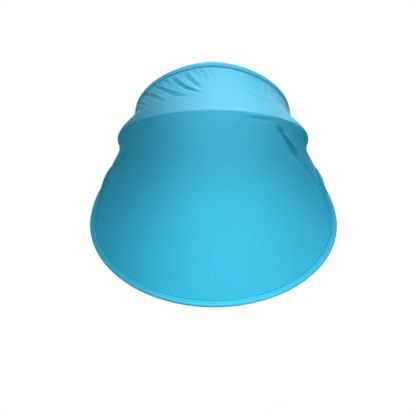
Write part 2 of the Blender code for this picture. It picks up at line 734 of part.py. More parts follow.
def make_strap(side, sign, parent):
    """Webbing sewn inside the hem's corner, led back round the frame tube and closed on itself."""
    outer, tail, inner, hem_back, loop_start, loop_end = strap_layout()
    far = arc(((outer + inner) / 2, loop_end), (outer - inner) / 2, 0, 180, LOOP_STEPS)
    near = arc(((tail + inner) / 2, loop_start), (tail - inner) / 2, 180, 360, LOOP_STEPS)
    path = np.vstack([[(outer, hem_back - STRAP_SEWN)], far, near, [(tail, loop_end - TAIL_SHORT_BY)]])
    steps = unit(np.gradient(path, axis=0))
    side_step = np.column_stack([-steps[:, 1], steps[:, 0]])
    half = STRAP_THICKNESS / 2
    corner = HEM_UP - (HEM_RISE + HEM_LEG) * math.cos(HEM_LEAN)
    low = corner + STRAP_ABOVE_CORNER
    high = low + STRAP_WIDTH
    rings = []
    for place, offset in zip(path, side_step):
        for shift, height in ((-half, low), (half, low), (half, high), (-half, high)):
            x, y = place + shift * offset
            rings.append((sign * x, y, height))
    rings = np.array(rings).reshape(len(path), 4, 3)
    sweep("strap_" + side, rings, [0, 1, 1, 0], (BLACK, 0.8), parent)
    patch_start = loop_start + TAIL_SHORT_BY
    patches = {
        "loop_patch_": outer - half - FIT_GAP,
        "hook_patch_": tail + half + FIT_GAP + PATCH_THICKNESS,
    }
    for name, face in patches.items():
        xs = sorted((sign * face, sign * (face - PATCH_THICKNESS)))
        first = (xs[0], patch_start, low + PATCH_INSET)
        last = (xs[1], patch_start + PATCH_LENGTH, high - PATCH_INSET)
        add_object(name + side, box_points(first, last), BOX_FACES, (BLACK, 0.95), parent)


def add_empty(name, place):
    made = bpy.data.objects.new(name, None)
    made.location = place
    bpy.context.scene.collection.objects.link(made)
    bpy.context.view_layer.update()
    return made


def main():
    for existing in list(bpy.data.objects):
        bpy.data.objects.remove(existing, do_unlink=True)
    cover = add_empty("cover", (0, 0, 0))
    visor = add_empty("visor", (0, PIVOT_BACK, PIVOT_UP))
    make_hood(cover)
    peak_grid, ridge, rim = make_peak(visor)
    make_ridge_tape(peak_grid, ridge, cover)
    make_wire(rim, visor)
    for side, sign in (("left", -1), ("right", 1)):
        make_pocket(side, sign, cover)
        make_eyelet(side, sign, cover)
        make_cap(side, sign, visor)
        make_strap(side, sign, cover)


main()
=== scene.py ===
import math

import bmesh
import bpy
import numpy as np
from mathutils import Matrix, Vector


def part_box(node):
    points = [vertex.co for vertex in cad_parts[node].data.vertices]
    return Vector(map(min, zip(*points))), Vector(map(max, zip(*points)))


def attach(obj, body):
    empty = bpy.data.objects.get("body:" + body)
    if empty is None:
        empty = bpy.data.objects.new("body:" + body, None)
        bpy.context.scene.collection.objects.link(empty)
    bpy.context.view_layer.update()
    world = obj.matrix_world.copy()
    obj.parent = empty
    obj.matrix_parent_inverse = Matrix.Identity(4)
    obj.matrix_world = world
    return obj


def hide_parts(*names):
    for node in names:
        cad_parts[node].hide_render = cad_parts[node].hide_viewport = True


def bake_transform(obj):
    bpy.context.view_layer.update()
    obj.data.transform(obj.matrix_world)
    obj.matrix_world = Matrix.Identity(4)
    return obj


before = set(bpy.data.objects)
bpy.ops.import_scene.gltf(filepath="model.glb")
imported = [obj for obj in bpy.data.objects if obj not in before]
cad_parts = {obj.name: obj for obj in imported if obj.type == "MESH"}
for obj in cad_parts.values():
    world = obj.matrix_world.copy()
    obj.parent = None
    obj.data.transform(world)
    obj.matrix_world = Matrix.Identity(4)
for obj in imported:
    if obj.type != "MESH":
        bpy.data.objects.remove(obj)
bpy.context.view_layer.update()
print("frame loaded,", len(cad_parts), "nodes")

mm = 0.001
cloth = {"thickness": 1.0 * mm, "foldRound": 2.5 * mm, "hoodSag": 5 * mm, "sagTowards": (0, 0.4, 0.9)}

ridge = {
    "lean": math.radians(18.2), "halfWidth": 192 * mm, "rise": 57 * mm,
    "tuck": 10 * mm, "tuckedAt": 74 * mm, "legEnd": 125 * mm, "peakEnd": 84 * mm,
}
hem = {
    "back": 112 * mm, "up": 77.5 * mm, "lean": math.radians(6.9), "halfWidth": 170 * mm,
    "rise": 100 * mm, "leg": 9 * mm, "roundness": 1.78, "onArch": 0.86,
    "band": 12 * mm, "overlap": 5.5 * mm, "tape": 0.9 * mm, "elastic": 0.8 * mm, "seam": 10.3 * mm,
    "room": 0.3 * mm, "evened": 20, "clothEnd": 0.902, "strokeEnd": (0.925, 0.04), "seenTo": 1.5,
}
waist = {"depth": (9 * mm, 14 * mm), "from": 0.45, "full": 0.85, "gone": 1.35}
rim = {
    "back": -14 * mm, "up": -79 * mm, "slope": math.radians(31.9), "halfWidth": 223.7 * mm,
    "widestAt": 158 * mm, "reach": 330 * mm, "roundness": 2.0, "start": 40 * mm,
    "wire": 1.5 * mm, "lead": 26 * mm, "band": 9.5 * mm, "neck": 2.4 * mm, "tape": 0.9 * mm,
    "room": 1.8 * mm, "slot": 0.8 * mm, "seam": 8.0 * mm, "evened": 200,
}
peak = {
    "draw": 1.5, "sag": 12 * mm, "tuck": (7.5 * mm, 7.5 * mm),
    "tuckFrom": 0.5, "tuckFull": 0.95, "tuckGone": 1.15, "strokeStart": 0.03, "strokeEnd": (0.985, 0.05),
}
stroke = {"start": 0.22, "end": 0.45, "evened": 4}
fine = {
    "samples": 1600, "hoodArch": 300, "hoodLeg": 30, "hoodRows": 90, "hoodFold": 0.035,
    "peakArch": 110, "peakLeg": 26, "peakRows": 120, "peakFold": 0.02, "foldRows": 8,
}
# the camera, and the side of the photo in pixels
view = {"place": (-0.010, -0.834, 0.180), "pitch": 25.5, "lens": 35.9, "sensor": 36, "side": 416}


def smoothStep(share):
    # 3s^2 - 2s^3 between 0 and 1
    share = np.clip(share, 0, 1)
    return share * share * (3 - 2 * share)


def unitOf(vectors):
    return vectors / np.linalg.norm(vectors, axis=-1, keepdims=True)


def squared(vectors, along):
    # the part of each vector at right angles to the unit vector along, at unit length
    return unitOf(vectors - np.sum(vectors * along, axis=-1, keepdims=True) * along)


def lengthsAlong(points):
    # 0, then the running sum of the distances between neighbours
    steps = np.linalg.norm(np.diff(points, axis=0), axis=1)
    return np.concatenate([[0], np.cumsum(steps)])


def atShares(points, shares):
    # points at these shares of a line's length
    lengths = lengthsAlong(points)
    wanted = np.asarray(shares) * lengths[-1]
    return np.stack([np.interp(wanted, lengths, points[:, axis]) for axis in range(3)], axis=-1)


def evened(vectors, times):
    # each vector averaged with its neighbours 1:2:1, this many times over
    for _ in range(times):
        middle = (vectors[:-2] + 2 * vectors[1:-1] + vectors[2:]) / 4
        vectors = np.concatenate([vectors[:1], middle, vectors[-1:]])
    return vectors


def ridgeAt(places):
    # half an ellipse for places from -1 to 1, then legs that tuck in and run on to -2 and 2
    places = np.asarray(places, float)
    arch = np.clip(np.abs(places), 0, 1) * math.pi / 2
    leg = np.clip(np.abs(places) - 1, 0, 1)
    depth = ridge["rise"] * (1 - np.cos(arch)) + leg * (ridge["legEnd"] - ridge["rise"])
    tuck = smoothStep((depth - ridge["rise"]) / (ridge["tuckedAt"] - ridge["rise"]))
    half = ridge["halfWidth"] * np.sin(arch) - ridge["tuck"] * tuck * (leg > 0)
    lean = ridge["lean"]
    return np.stack([np.sign(places) * half, -depth * math.sin(lean), -depth * math.cos(lean)], axis=-1)


def hemLine():
    # a superellipse arch with short straight legs, in a plane that leans a little
    angle = np.linspace(0, math.pi / 2, fine["samples"])
    power = 2 / hem["roundness"]
    half = np.append(hem["halfWidth"] * np.sin(angle) ** power, hem["halfWidth"])
    depth = np.append(hem["rise"] * (1 - np.cos(angle) ** power), hem["rise"] + hem["leg"])
    lean = hem["lean"]
    back, up = hem["back"] - depth * math.sin(lean), hem["up"] - depth * math.cos(lean)
    right = np.stack([half, back, up], axis=-1)
    return np.vstack([right[:0:-1] * (-1, 1, 1), right])


def inRimPlane(half, out):
    # half across and out down the slope, measured from the pivots' line
    slope = rim["slope"]
    return np.stack([half, rim["back"] - out * math.cos(slope), rim["up"] - out * math.sin(slope)], axis=-1)


def shareAlongHem(places):
    # the arch of the ridge is sewn to most of the hem, and each leg to what is left
    samples = np.linspace(0, 1, fine["samples"])
    arch = lengthsAlong(ridgeAt(samples))
    onArch = np.interp(np.clip(np.abs(places), 0, 1), samples, arch / arch[-1])
    onLeg = np.clip(np.abs(places) - 1, 0, 1)
    return 0.5 + 0.5 * np.sign(places) * (hem["onArch"] * onArch + (1 - hem["onArch"]) * onLeg)


def drawIn(grid, places, share, shape):
    # each side moves inwards by its depth times sin^2 of the share across, fading out along the ridge
    side = np.abs(places)
    drawn = smoothStep((side - shape["from"]) / (shape["full"] - shape["from"]))
    drawn *= 1 - smoothStep((side - 1) / (shape["gone"] - 1))
    depth = np.where(places < 0, -shape["depth"][0], shape["depth"][1])
    grid[..., 0] -= (depth * drawn)[:, None] * np.sin(math.pi * share) ** 2


def normalsOf(grid):
    # the cross product of the grid's two directions, at unit length
    return unitOf(np.cross(np.gradient(grid, axis=0), np.gradient(grid, axis=1)))


def plainHood(places, share):
    # straight lines from the ridge to the hem, eased across, with the waist drawn in
    top = ridgeAt(places)
    back = atShares(hemLine(), shareAlongHem(places))
    eased = np.stack([smoothStep(share), share, share], axis=-1)
    grid = top[:, None] * (1 - eased) + back[:, None] * eased
    drawIn(grid, places, share[None], waist)
    middle = 1 - smoothStep((np.abs(places) - 0.5) / 0.5)
    sag = cloth["hoodSag"] * middle[:, None] * 4 * share * (1 - share)
    return grid - np.array(cloth["sagTowards"]) * sag[..., None]


def wireSide():
    # how far out the wire passes inside the flank: the same place as the CAD wire's straight lead
    co = np.empty(len(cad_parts["rim_wire"].data.vertices) * 3)
    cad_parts["rim_wire"].data.vertices.foreach_get("co", co)
    co = co.reshape(-1, 3)
    near = co[(co[:, 1] > rim["back"] - rim["lead"]) & (co[:, 0] > 0)]
    return near[:, 0].max() - rim["wire"]


def rimLine(start):
    # from the widest point an ellipse runs to the front and a parabola back to the pivots
    side = wireSide()
    angle = np.linspace(0, math.pi / 2, fine["samples"])
    power = 2 / rim["roundness"]
    front = rim["widestAt"] + (rim["reach"] - rim["widestAt"]) * np.cos(angle) ** power
    share = np.linspace(1, 0, fine["samples"])[1:]
    back = rim["lead"] + share * (rim["widestAt"] - rim["lead"])
    backHalf = side + (rim["halfWidth"] - side) * (1 - (1 - share) ** 2)
    half = np.concatenate([rim["halfWidth"] * np.sin(angle) ** power, backHalf, [side]])
    right = inRimPlane(half, np.concatenate([front, back, [0.0]]))
    lengths = lengthsAlong(right)
    kept = right[lengths <= lengths[-1] - start]
    return np.vstack([kept[:0:-1] * (-1, 1, 1), kept])


def gradedRows(count, foldRows, foldShare):
    # rows crowded into the first bit beside the ridge
    return np.concatenate([np.linspace(0, foldShare, foldRows + 1)[:-1], np.linspace(foldShare, 1, count)])


def peakPlaces():
    # even steps over the arch, then over the part of each leg that the peak is sewn to
    legShare = (ridge["peakEnd"] - ridge["rise"]) / (ridge["legEnd"] - ridge["rise"])
    arch = np.linspace(-1, 1, 2 * fine["peakArch"] + 1)
    leg = 1 + np.arange(1, fine["peakLeg"] + 1) / fine["peakLeg"] * legShare
    return np.concatenate([-leg[::-1], arch, leg])


def plainPeak(places, even):
    # rulings from the ridge to the rim, drawn towards its front, tucked at the sides and sagged between
    top = ridgeAt(places)
    lengths = lengthsAlong(top)
    side = 2 * lengths / lengths[-1] - 1
    drawn = np.sign(side) * (1 - (1 - np.abs(side)) ** peak["draw"])
    edge = atShares(rimLine(rim["start"]), (1 + drawn) / 2)
    reach = edge - top
    tangent = unitOf(np.gradient(edge, axis=0))
    square = np.linalg.norm(reach - np.sum(reach * tangent, axis=1, keepdims=True) * tangent, axis=1)
    share = even[None, :] * (1 - (rim["band"] / square)[:, None])
    grid = top[:, None] * (1 - share[..., None]) + edge[:, None] * share[..., None]
    drawIn(grid, places, even[None], {
        "depth": peak["tuck"], "from": peak["tuckFrom"], "full": peak["tuckFull"], "gone": peak["tuckGone"]})
    normals = -normalsOf(grid)
    sag = peak["sag"] * (1 - smoothStep(np.abs(side)))[:, None] * 4 * share * (1 - share)
    grid = grid - normals * sag[..., None]
    return grid, edge


def roundedAtRidge(grid, towards, across):
    # a quadratic curve rounds the fold: both cloths meet on it half way, at the same height
    start = grid[:, :1].copy()
    own = unitOf(grid[:, 1] - grid[:, 0])[:, None]
    other = unitOf(towards)[:, None]
    length = cloth["foldRound"]
    away = np.linalg.norm(grid - start, axis=-1, keepdims=True)
    turn = (1 - np.clip(away / length, 0, 1)) / 2
    rounded = start + length * ((1 - turn) ** 2 * own + turn**2 * other)
    keep = (away < length) & across[:, None, None]
    return np.where(keep, rounded, grid)


def addObject(name, data):
    made = bpy.data.objects.new(name, data)
    bpy.context.scene.collection.objects.link(made)
    return made


def addMesh(name, points, faces, material, uv=None, smooth=True):
    mesh = bpy.data.meshes.new(name)
    points = np.asarray(points, float).reshape(-1, 3)
    mesh.from_pydata(points.tolist(), [], faces)
    if uv is not None:
        layer = mesh.uv_layers.new(name="UVMap")
        loops = np.empty(len(mesh.loops), np.int32)
        mesh.loops.foreach_get("vertex_index", loops)
        layer.data.foreach_set("uv", np.asarray(uv, np.float32)[loops].ravel())
    mesh.polygons.foreach_set("use_smooth", np.full(len(mesh.polygons), smooth))
    mesh.materials.append(material)
    mesh.validate()
    mesh.update()
    return addObject(name, mesh)


def quadsOf(index):
    # one face between each four neighbours of a grid of point numbers
    quads = np.stack([index[:-1, :-1], index[1:, :-1], index[1:, 1:], index[:-1, 1:]], axis=-1)
    return quads.reshape(-1, 4)


def addSheet(name, grid, normals, uv, thickness, material):
    # a closed sheet: the grid moved half a thickness each way along its normals, with walls round the edge
    count, rows = grid.shape[:2]
    index = np.arange(count * rows).reshape(count, rows)
    other = count * rows
    half = normals * np.broadcast_to(np.asarray(thickness), (count, rows))[..., None] / 2
    front = quadsOf(index)
    around = np.concatenate([index[0], index[1:, -1], index[-1, -2::-1], index[-2:0:-1, 0]])
    after = np.roll(around, -1)
    walls = np.stack([around, after, after + other, around + other], axis=-1)
    faces = np.concatenate([front, front[:, ::-1] + other, walls])
    points = np.concatenate([(grid + half).reshape(-1, 3), (grid - half).reshape(-1, 3)])
    flat = uv.reshape(-1, 2)
    return faceOutwards(addMesh(name, points, faces.tolist(), material, np.concatenate([flat, flat])))


def addSweep(name, rings, material, closed=False, grooves=None):
    # rings of points joined one after another, with a face over each end unless the line is closed;
    # the last argument says how far down a stitched groove each point of a ring lies, which the material
    # darkens as painted shade
    count, around = rings.shape[:2]
    index = np.arange(count * around).reshape(count, around)
    wrapped = np.concatenate([index, index[:, :1]], axis=1)
    if closed:
        wrapped = np.concatenate([wrapped, wrapped[:1]])
    faces = quadsOf(wrapped).tolist()
    if not closed:
        faces += [index[0].tolist(), index[-1, ::-1].tolist()]
    along = lengthsAlong(rings.mean(axis=1))
    girth = lengthsAlong(rings[count // 2])
    uv = np.stack(np.broadcast_arrays(along[:, None], girth[None, :]), axis=-1)
    made = addMesh(name, rings, faces, material, uv.reshape(-1, 2))
    if grooves is not None:
        layer = made.data.attributes.new("groove", "FLOAT", "POINT")
        layer.data.foreach_set("value", np.tile(np.asarray(grooves, np.float32), count))
    return faceOutwards(made)


def faceOutwards(made):
    # turns all the faces of a closed shell outwards
    shell = bmesh.new()
    shell.from_mesh(made.data)
    bmesh.ops.recalc_face_normals(shell, faces=shell.faces)
    shell.to_mesh(made.data)
    shell.free()
    return made


def edgeFrames(line, inside, outward, times):
    # from the edge into the cloth, and out of the cloth's face
    tangent = unitOf(np.gradient(line, axis=0))
    inward = squared(evened(squared(inside - line, tangent), times), tangent)
    up = np.cross(tangent, inward)
    up *= np.sign(np.sum(up * outward, axis=-1, keepdims=True))
    return inward, up


def ringsOn(line, along, up, profile):
    # at each point of the line, the profile's first number goes along and its second number goes up
    profile = np.asarray(profile)
    if profile.ndim == 2:
        profile = np.broadcast_to(profile, (len(line),) + profile.shape)
    return line[:, None] + profile[..., :1] * along[:, None] + profile[..., 1:] * up[:, None]


def arcOf(centre, radius, start, end, steps):
    # points round a circle between two angles in degrees
    angle = np.radians(np.linspace(start, end, steps + 1))
    return np.stack([centre[0] + radius * np.cos(angle), centre[1] + radius * np.sin(angle)], axis=-1)


def addStitches(name, line, up, stitch, material):
    # running stitches: small rods of five rings with five points, evenly spaced along the line, whose
    # ends dip into the cloth
    lengths = lengthsAlong(line)
    count = max(2, int(lengths[-1] / stitch["pitch"]))
    wanted = (np.arange(count) + 0.5) / count * lengths[-1]
    tangents = np.gradient(line, axis=0)
    place, along, out = [
        np.stack([np.interp(wanted, lengths, field[:, axis]) for axis in range(3)], axis=-1)
        for field in (line, tangents, up)]
    along = unitOf(along)
    out = squared(out, along)
    side = np.cross(along, out)
    steps = np.array([-0.5, -0.36, 0.0, 0.36, 0.5]) * stitch["length"]
    width = np.array([0.35, 0.9, 1.0, 0.9, 0.35]) * stitch["radius"]
    lift = np.array([-0.9, 0.35, 0.75, 0.35, -0.9]) * stitch["radius"]
    angle = np.linspace(0, math.tau, 5, endpoint=False)
    rings = place[:, None, None] + along[:, None, None] * steps[:, None, None]
    raised = lift[:, None] + width[:, None] * np.sin(angle) * stitch["flat"]
    rings = rings + out[:, None, None] * raised[..., None]
    rings = rings + side[:, None, None] * (width[:, None] * np.cos(angle))[..., None]
    index = np.arange(25).reshape(5, 5)
    wrapped = np.concatenate([index, index[:, :1]], axis=1)
    quads = quadsOf(wrapped)[None] + 25 * np.arange(count)[:, None, None]
    ends = np.stack([index[0], index[-1, ::-1]])[None] + 25 * np.arange(count)[:, None, None]
    faces = quads.reshape(-1, 4).tolist() + ends.reshape(-1, 5).tolist()
    uv = np.stack(np.broadcast_arrays(steps[:, None], angle * stitch["radius"]), axis=-1)
    return faceOutwards(addMesh(name, rings, faces, material, np.tile(uv.reshape(-1, 2), (count, 1))))


# Materials
class Nodes:
    # a short way to write a material's node tree
    def __init__(self, name):
        self.material = bpy.data.materials.new(name)
        self.material.use_nodes = True
        self.tree = self.material.node_tree
        self.shader = self.tree.nodes["Principled BSDF"]

    def add(self, kind, inputs=None, **settings):
        made = self.tree.nodes.new(kind)
        for key, value in settings.items():
            setattr(made, key, value)
        for key, value in (inputs or {}).items():
            self.put(made.inputs[key], value)
        return made

    def put(self, socket, value):
        if isinstance(value, bpy.types.NodeSocket):
            self.tree.links.new(value, socket)
        else:
            socket.default_value = value

    def finished(self, inputs):
        for key, value in inputs.items():
            self.put(self.shader.inputs[key], value)
        return self.material

    def math(self, operation, first, second=0.0, third=0.0):
        made = self.add("ShaderNodeMath", operation=operation)
        for place, value in enumerate((first, second, third)):
            self.put(made.inputs[place], value)
        return made.outputs[0]

    def mix(self, share, first, second):
        made = self.add("ShaderNodeMix", data_type="RGBA")
        self.put(made.inputs[0], share)
        self.put(made.inputs[6], first)
        self.put(made.inputs[7], second)
        return made.outputs[2]

    def noise(self, coordinates, scale, detail=2.0, roughness=0.5):
        made = self.add("ShaderNodeTexNoise", {"Vector": coordinates, "Scale": scale, "Detail": detail,
                                               "Roughness": roughness})
        return made.outputs[0]

    def bump(self, height, strength, distance, normal=None):
        made = self.add("ShaderNodeBump", {"Height": height, "Strength": strength, "Distance": distance})
        if normal is not None:
            self.put(made.inputs["Normal"], normal)
        return made.outputs[0]


def toned(colour, times, lift=0.0):
    return [min(1.0, c * times + lift) for c in colour] + [1]


def knitMaterial(name, colour, look):
    # columns of V-shaped loops on the piece's own UV, which is in metres, with mottling in three sizes
    made = Nodes(name)
    where = made.add("ShaderNodeTexCoord")
    uv = where.outputs["UV"]
    place = where.outputs["Object"]
    split = made.add("ShaderNodeSeparateXYZ", {"Vector": uv})
    across = made.math("DIVIDE", split.outputs[0], look["wale"])
    column = made.math("FRACT", across)
    fromMiddle = made.math("ABSOLUTE", made.math("SUBTRACT", column, 0.5))
    rows = made.math("DIVIDE", split.outputs[1], look["course"])
    rows = made.math("ADD", rows, made.math("MULTIPLY", fromMiddle, 1.3))
    loop = made.math("MULTIPLY_ADD", made.math("SINE", made.math("MULTIPLY", rows, math.tau)), 0.5, 0.5)
    rib = made.math("SINE", made.math("MULTIPLY", fromMiddle, math.tau))
    height = made.math("MULTIPLY", made.math("MULTIPLY_ADD", loop, 0.6, 0.4), rib)
    wide = made.noise(place, look["wideScale"], 3.0)
    mottle = made.noise(place, look["mottleScale"], 3.0, 0.6)
    grain = made.noise(place, look["grainScale"], 2.0, 0.6)
    deep, pale = toned(colour, look["deep"]), toned(colour, look["pale"], look["lift"])
    tone = made.math("ADD", made.math("MULTIPLY", mottle, 0.45), made.math("MULTIPLY", grain, 0.35))
    tone = made.math("ADD", tone, made.math("MULTIPLY", wide, 0.2))
    ramp = made.add("ShaderNodeValToRGB", {"Fac": tone})
    ramp.color_ramp.elements[0].position = 0.34
    ramp.color_ramp.elements[0].color = deep
    ramp.color_ramp.elements[1].position = 0.66
    ramp.color_ramp.elements[1].color = pale
    gap = made.math("MULTIPLY", made.math("SUBTRACT", 1.0, height), look["gap"])
    shade = made.mix(gap, ramp.outputs[0], deep)
    # painted shade: darker down in the stitched grooves, where the piece has any
    groove = made.add("ShaderNodeAttribute", attribute_name="groove")
    grooveShadeColour = toned(colour, 0.16)
    shade = made.mix(made.math("MULTIPLY", groove.outputs["Fac"], look["groove"]), shade, grooveShadeColour)
    return made.finished({
        "Base Color": shade, "Roughness": made.math("MULTIPLY_ADD", grain, 0.16, look["roughness"] - 0.08),
        "Normal": made.bump(height, look["relief"], look["depth"], made.bump(mottle, 0.12, 0.0006)),
        "Specular IOR Level": look["specular"], "Sheen Weight": look["sheen"], "Sheen Roughness": 0.4,
        "Sheen Tint": look["sheenTint"]})


def wovenMaterial(name, colour, look):
    # a plain weave: warp and weft ribs take turns on top, on the piece's own UV in metres
    made = Nodes(name)
    where = made.add("ShaderNodeTexCoord")
    split = made.add("ShaderNodeSeparateXYZ", {"Vector": where.outputs["UV"]})
    along = made.math("MULTIPLY", made.math("DIVIDE", split.outputs[0], look["pitch"]), math.pi)
    across = made.math("DIVIDE", split.outputs[1], look["pitch"] * look["stretch"])
    across = made.math("MULTIPLY", across, math.pi)
    warp = made.math("ABSOLUTE", made.math("SINE", along))
    weft = made.math("ABSOLUTE", made.math("SINE", across))
    both = made.math("MULTIPLY", made.math("SINE", along), made.math("SINE", across))
    turn = made.math("GREATER_THAN", both, 0.0)
    under = made.math("MULTIPLY", weft, made.math("SUBTRACT", 1.0, turn))
    height = made.math("ADD", made.math("MULTIPLY", warp, turn), under)
    grain = made.noise(where.outputs["Object"], look["grainScale"], 3.0, 0.6)
    deep, pale = toned(colour, look["deep"]), toned(colour, look["pale"], look["lift"])
    tone = made.math("ADD", made.math("MULTIPLY", height, 0.55), made.math("MULTIPLY", grain, 0.45))
    return made.finished({
        "Base Color": made.mix(tone, deep, pale), "Sheen Weight": look["sheen"],
        "Roughness": made.math("MULTIPLY_ADD", grain, 0.2, look["roughness"] - 0.1),
        "Normal": made.bump(height, 0.5, look["pitch"] * 0.25)})


def metalMaterial(name, colour, roughness, stretch):
    # drawn or pressed metal: fine scratches along one axis, and faint dulled patches
    made = Nodes(name)
    where = made.add("ShaderNodeTexCoord")
    turned = made.add("ShaderNodeMapping", {"Vector": where.outputs["Object"], "Scale": stretch})
    scratch = made.noise(turned.outputs[0], 900.0, 4.0, 0.7)
    patch = made.noise(where.outputs["Object"], 120.0, 3.0)
    dull = toned(colour, 0.72)
    return made.finished({
        "Base Color": made.mix(patch, toned(colour, 1), dull), "Metallic": 1.0,
        "Roughness": made.math("MULTIPLY_ADD", scratch, 0.22, roughness - 0.1),
        "Normal": made.bump(scratch, 0.15, 0.0001)})


def plasticMaterial(name, colour, roughness):
    # moulded plastic: a fine grain and slightly worn, paler patches
    made = Nodes(name)
    where = made.add("ShaderNodeTexCoord")
    grain = made.noise(where.outputs["Object"], 2600.0, 2.0)
    wear = made.noise(where.outputs["Object"], 380.0, 4.0, 0.65)
    worn = toned(colour, 1.8, 0.02)
    return made.finished({
        "Base Color": made.mix(made.math("MULTIPLY", wear, 0.5), toned(colour, 1), worn),
        "Roughness": made.math("MULTIPLY_ADD", wear, 0.2, roughness - 0.1),
        "Normal": made.bump(grain, 0.2, 0.00008)})


def pileMaterial(name, colour, scale, strength):
    # hooks or loops: a dense field of round cells
    made = Nodes(name)
    where = made.add("ShaderNodeTexCoord")
    cells = made.add("ShaderNodeTexVoronoi", {"Vector": where.outputs["Object"], "Scale": scale})
    grain = made.noise(where.outputs["Object"], scale * 2, 3.0, 0.7)
    pale = toned(colour, 2.6, 0.02)
    tone = made.math("MULTIPLY_ADD", cells.outputs["Distance"], -0.9, made.math("ADD", grain, 0.25))
    return made.finished({
        "Base Color": made.mix(tone, toned(colour, 1), pale), "Sheen Weight": 0.3,
        "Roughness": made.math("MULTIPLY_ADD", grain, 0.2, 0.75),
        "Normal": made.bump(cells.outputs["Distance"], strength, 0.0005)})


# clothLook also sets how dark the painted shade down stitched grooves goes
clothLook = {
    "wale": 0.9 * mm, "course": 0.7 * mm, "wideScale": 9.0, "mottleScale": 210.0, "grainScale": 900.0,
    "deep": 0.86, "pale": 1.08, "lift": 0.004, "gap": 0.25, "roughness": 0.62, "relief": 0.3,
    "depth": 0.15 * mm, "specular": 0.34, "sheen": 0.14, "sheenTint": (0.85, 0.95, 1.0, 1), "groove": 0.6,
}
clothFinish = knitMaterial("stretchKnit", (0.018, 0.450, 0.690), clothLook)
# the hood section's copy of the peak's knit, with a whiter colour: painted sheen where light falls on the
# hood section
hoodSheenFinish = knitMaterial("hoodKnitPaintedSheen", (0.055, 0.455, 0.66), clothLook)
fineKnit = {**clothLook, "wale": 0.8 * mm, "course": 0.65 * mm}
hemFinish = knitMaterial("hemKnit", (0.03, 0.43, 0.67), {**fineKnit, "gap": 0.3})
rimFinish = knitMaterial("rimKnit", (0.02, 0.56, 0.82), {**fineKnit, "sheen": 0.2})
tapeFinish = wovenMaterial("seamTape", (0.04, 0.36, 0.56), {
    "pitch": 0.7 * mm, "stretch": 1.0, "grainScale": 700.0, "deep": 0.75, "pale": 1.15, "lift": 0.01,
    "roughness": 0.8, "sheen": 0.15})
elasticFinish = wovenMaterial("knittedElastic", (0.72, 0.74, 0.76), {
    "pitch": 1.2 * mm, "stretch": 0.5, "grainScale": 500.0, "deep": 0.7, "pale": 1.05, "lift": 0.0,
    "roughness": 0.85, "sheen": 0.1})
webbingFinish = wovenMaterial("strapWebbing", (0.022, 0.022, 0.025), {
    "pitch": 1.1 * mm, "stretch": 1.6, "grainScale": 600.0, "deep": 0.6, "pale": 1.9, "lift": 0.006,
    "roughness": 0.75, "sheen": 0.25})
threadFinish = wovenMaterial("sewingThread", (0.012, 0.20, 0.34), {
    "pitch": 0.35 * mm, "stretch": 1.0, "grainScale": 1500.0, "deep": 0.8, "pale": 1.2, "lift": 0.01,
    "roughness": 0.55, "sheen": 0.2})
darkThread = wovenMaterial("strapThread", (0.03, 0.03, 0.034), {
    "pitch": 0.35 * mm, "stretch": 1.0, "grainScale": 1500.0, "deep": 0.8, "pale": 1.6, "lift": 0.01,
    "roughness": 0.55, "sheen": 0.2})
hookFinish = pileMaterial("hookTape", (0.02, 0.02, 0.022), 1300.0, 0.8)
loopFinish = pileMaterial("loopTape", (0.02, 0.02, 0.022), 800.0, 0.5)
wireFinish = metalMaterial("springWire", (0.58, 0.59, 0.61), 0.34, (1.0, 0.15, 0.15))
eyeletFinish = metalMaterial("pressedEyelet", (0.64, 0.65, 0.66), 0.28, (0.3, 1.0, 1.0))
capFinish = plasticMaterial("mouldedCap", (0.02, 0.02, 0.022), 0.5)
print("materials made")


# Where the photo shows the folds
def hoodPlaces():
    # even steps over the arch, then over both legs
    arch = np.linspace(-1, 1, fine["hoodArch"] + 1)
    leg = 1 + np.arange(1, fine["hoodLeg"] + 1) / fine["hoodLeg"]
    return np.concatenate([-leg[::-1], arch, leg])


def inPhoto(points):
    # where the camera sees the points, in pixels to the right and down from the photo's corner
    pitch = math.radians(view["pitch"])
    away = points - np.array(view["place"])
    depth = away[..., 1] * math.cos(pitch) - away[..., 2] * math.sin(pitch)
    down = -away[..., 1] * math.sin(pitch) - away[..., 2] * math.cos(pitch)
    focal = view["lens"] / view["sensor"] * view["side"]
    return view["side"] / 2 + focal * np.stack([away[..., 0], down], axis=-1) / depth[..., None]


hoodShare = gradedRows(fine["hoodRows"], fine["foldRows"], fine["hoodFold"])
plainHoodGrid = plainHood(hoodPlaces(), hoodShare)


def onHood(*pixels):
    # the place along the ridge and the share towards the hem that lie under each pixel: the nearest
    # point of the plain hood section, then one straight step from it
    places, share = hoodPlaces(), hoodShare
    seen = inPhoto(plainHoodGrid)
    perColumn, perRow = np.gradient(seen, axis=0), np.gradient(seen, axis=1)
    found = []
    for pixel in pixels:
        miss = np.array(pixel) - seen
        far = np.where(np.abs(places)[:, None] < hem["seenTo"], np.linalg.norm(miss, axis=-1), np.inf)
        at = np.unravel_index(far.argmin(), far.shape)
        step = np.linalg.solve(np.stack([perColumn[at], perRow[at]], axis=-1), miss[at])
        found.append((np.interp(at[0] + step[0], np.arange(len(places)), places),
                      np.interp(at[1] + step[1], np.arange(len(share)), share)))
    return found


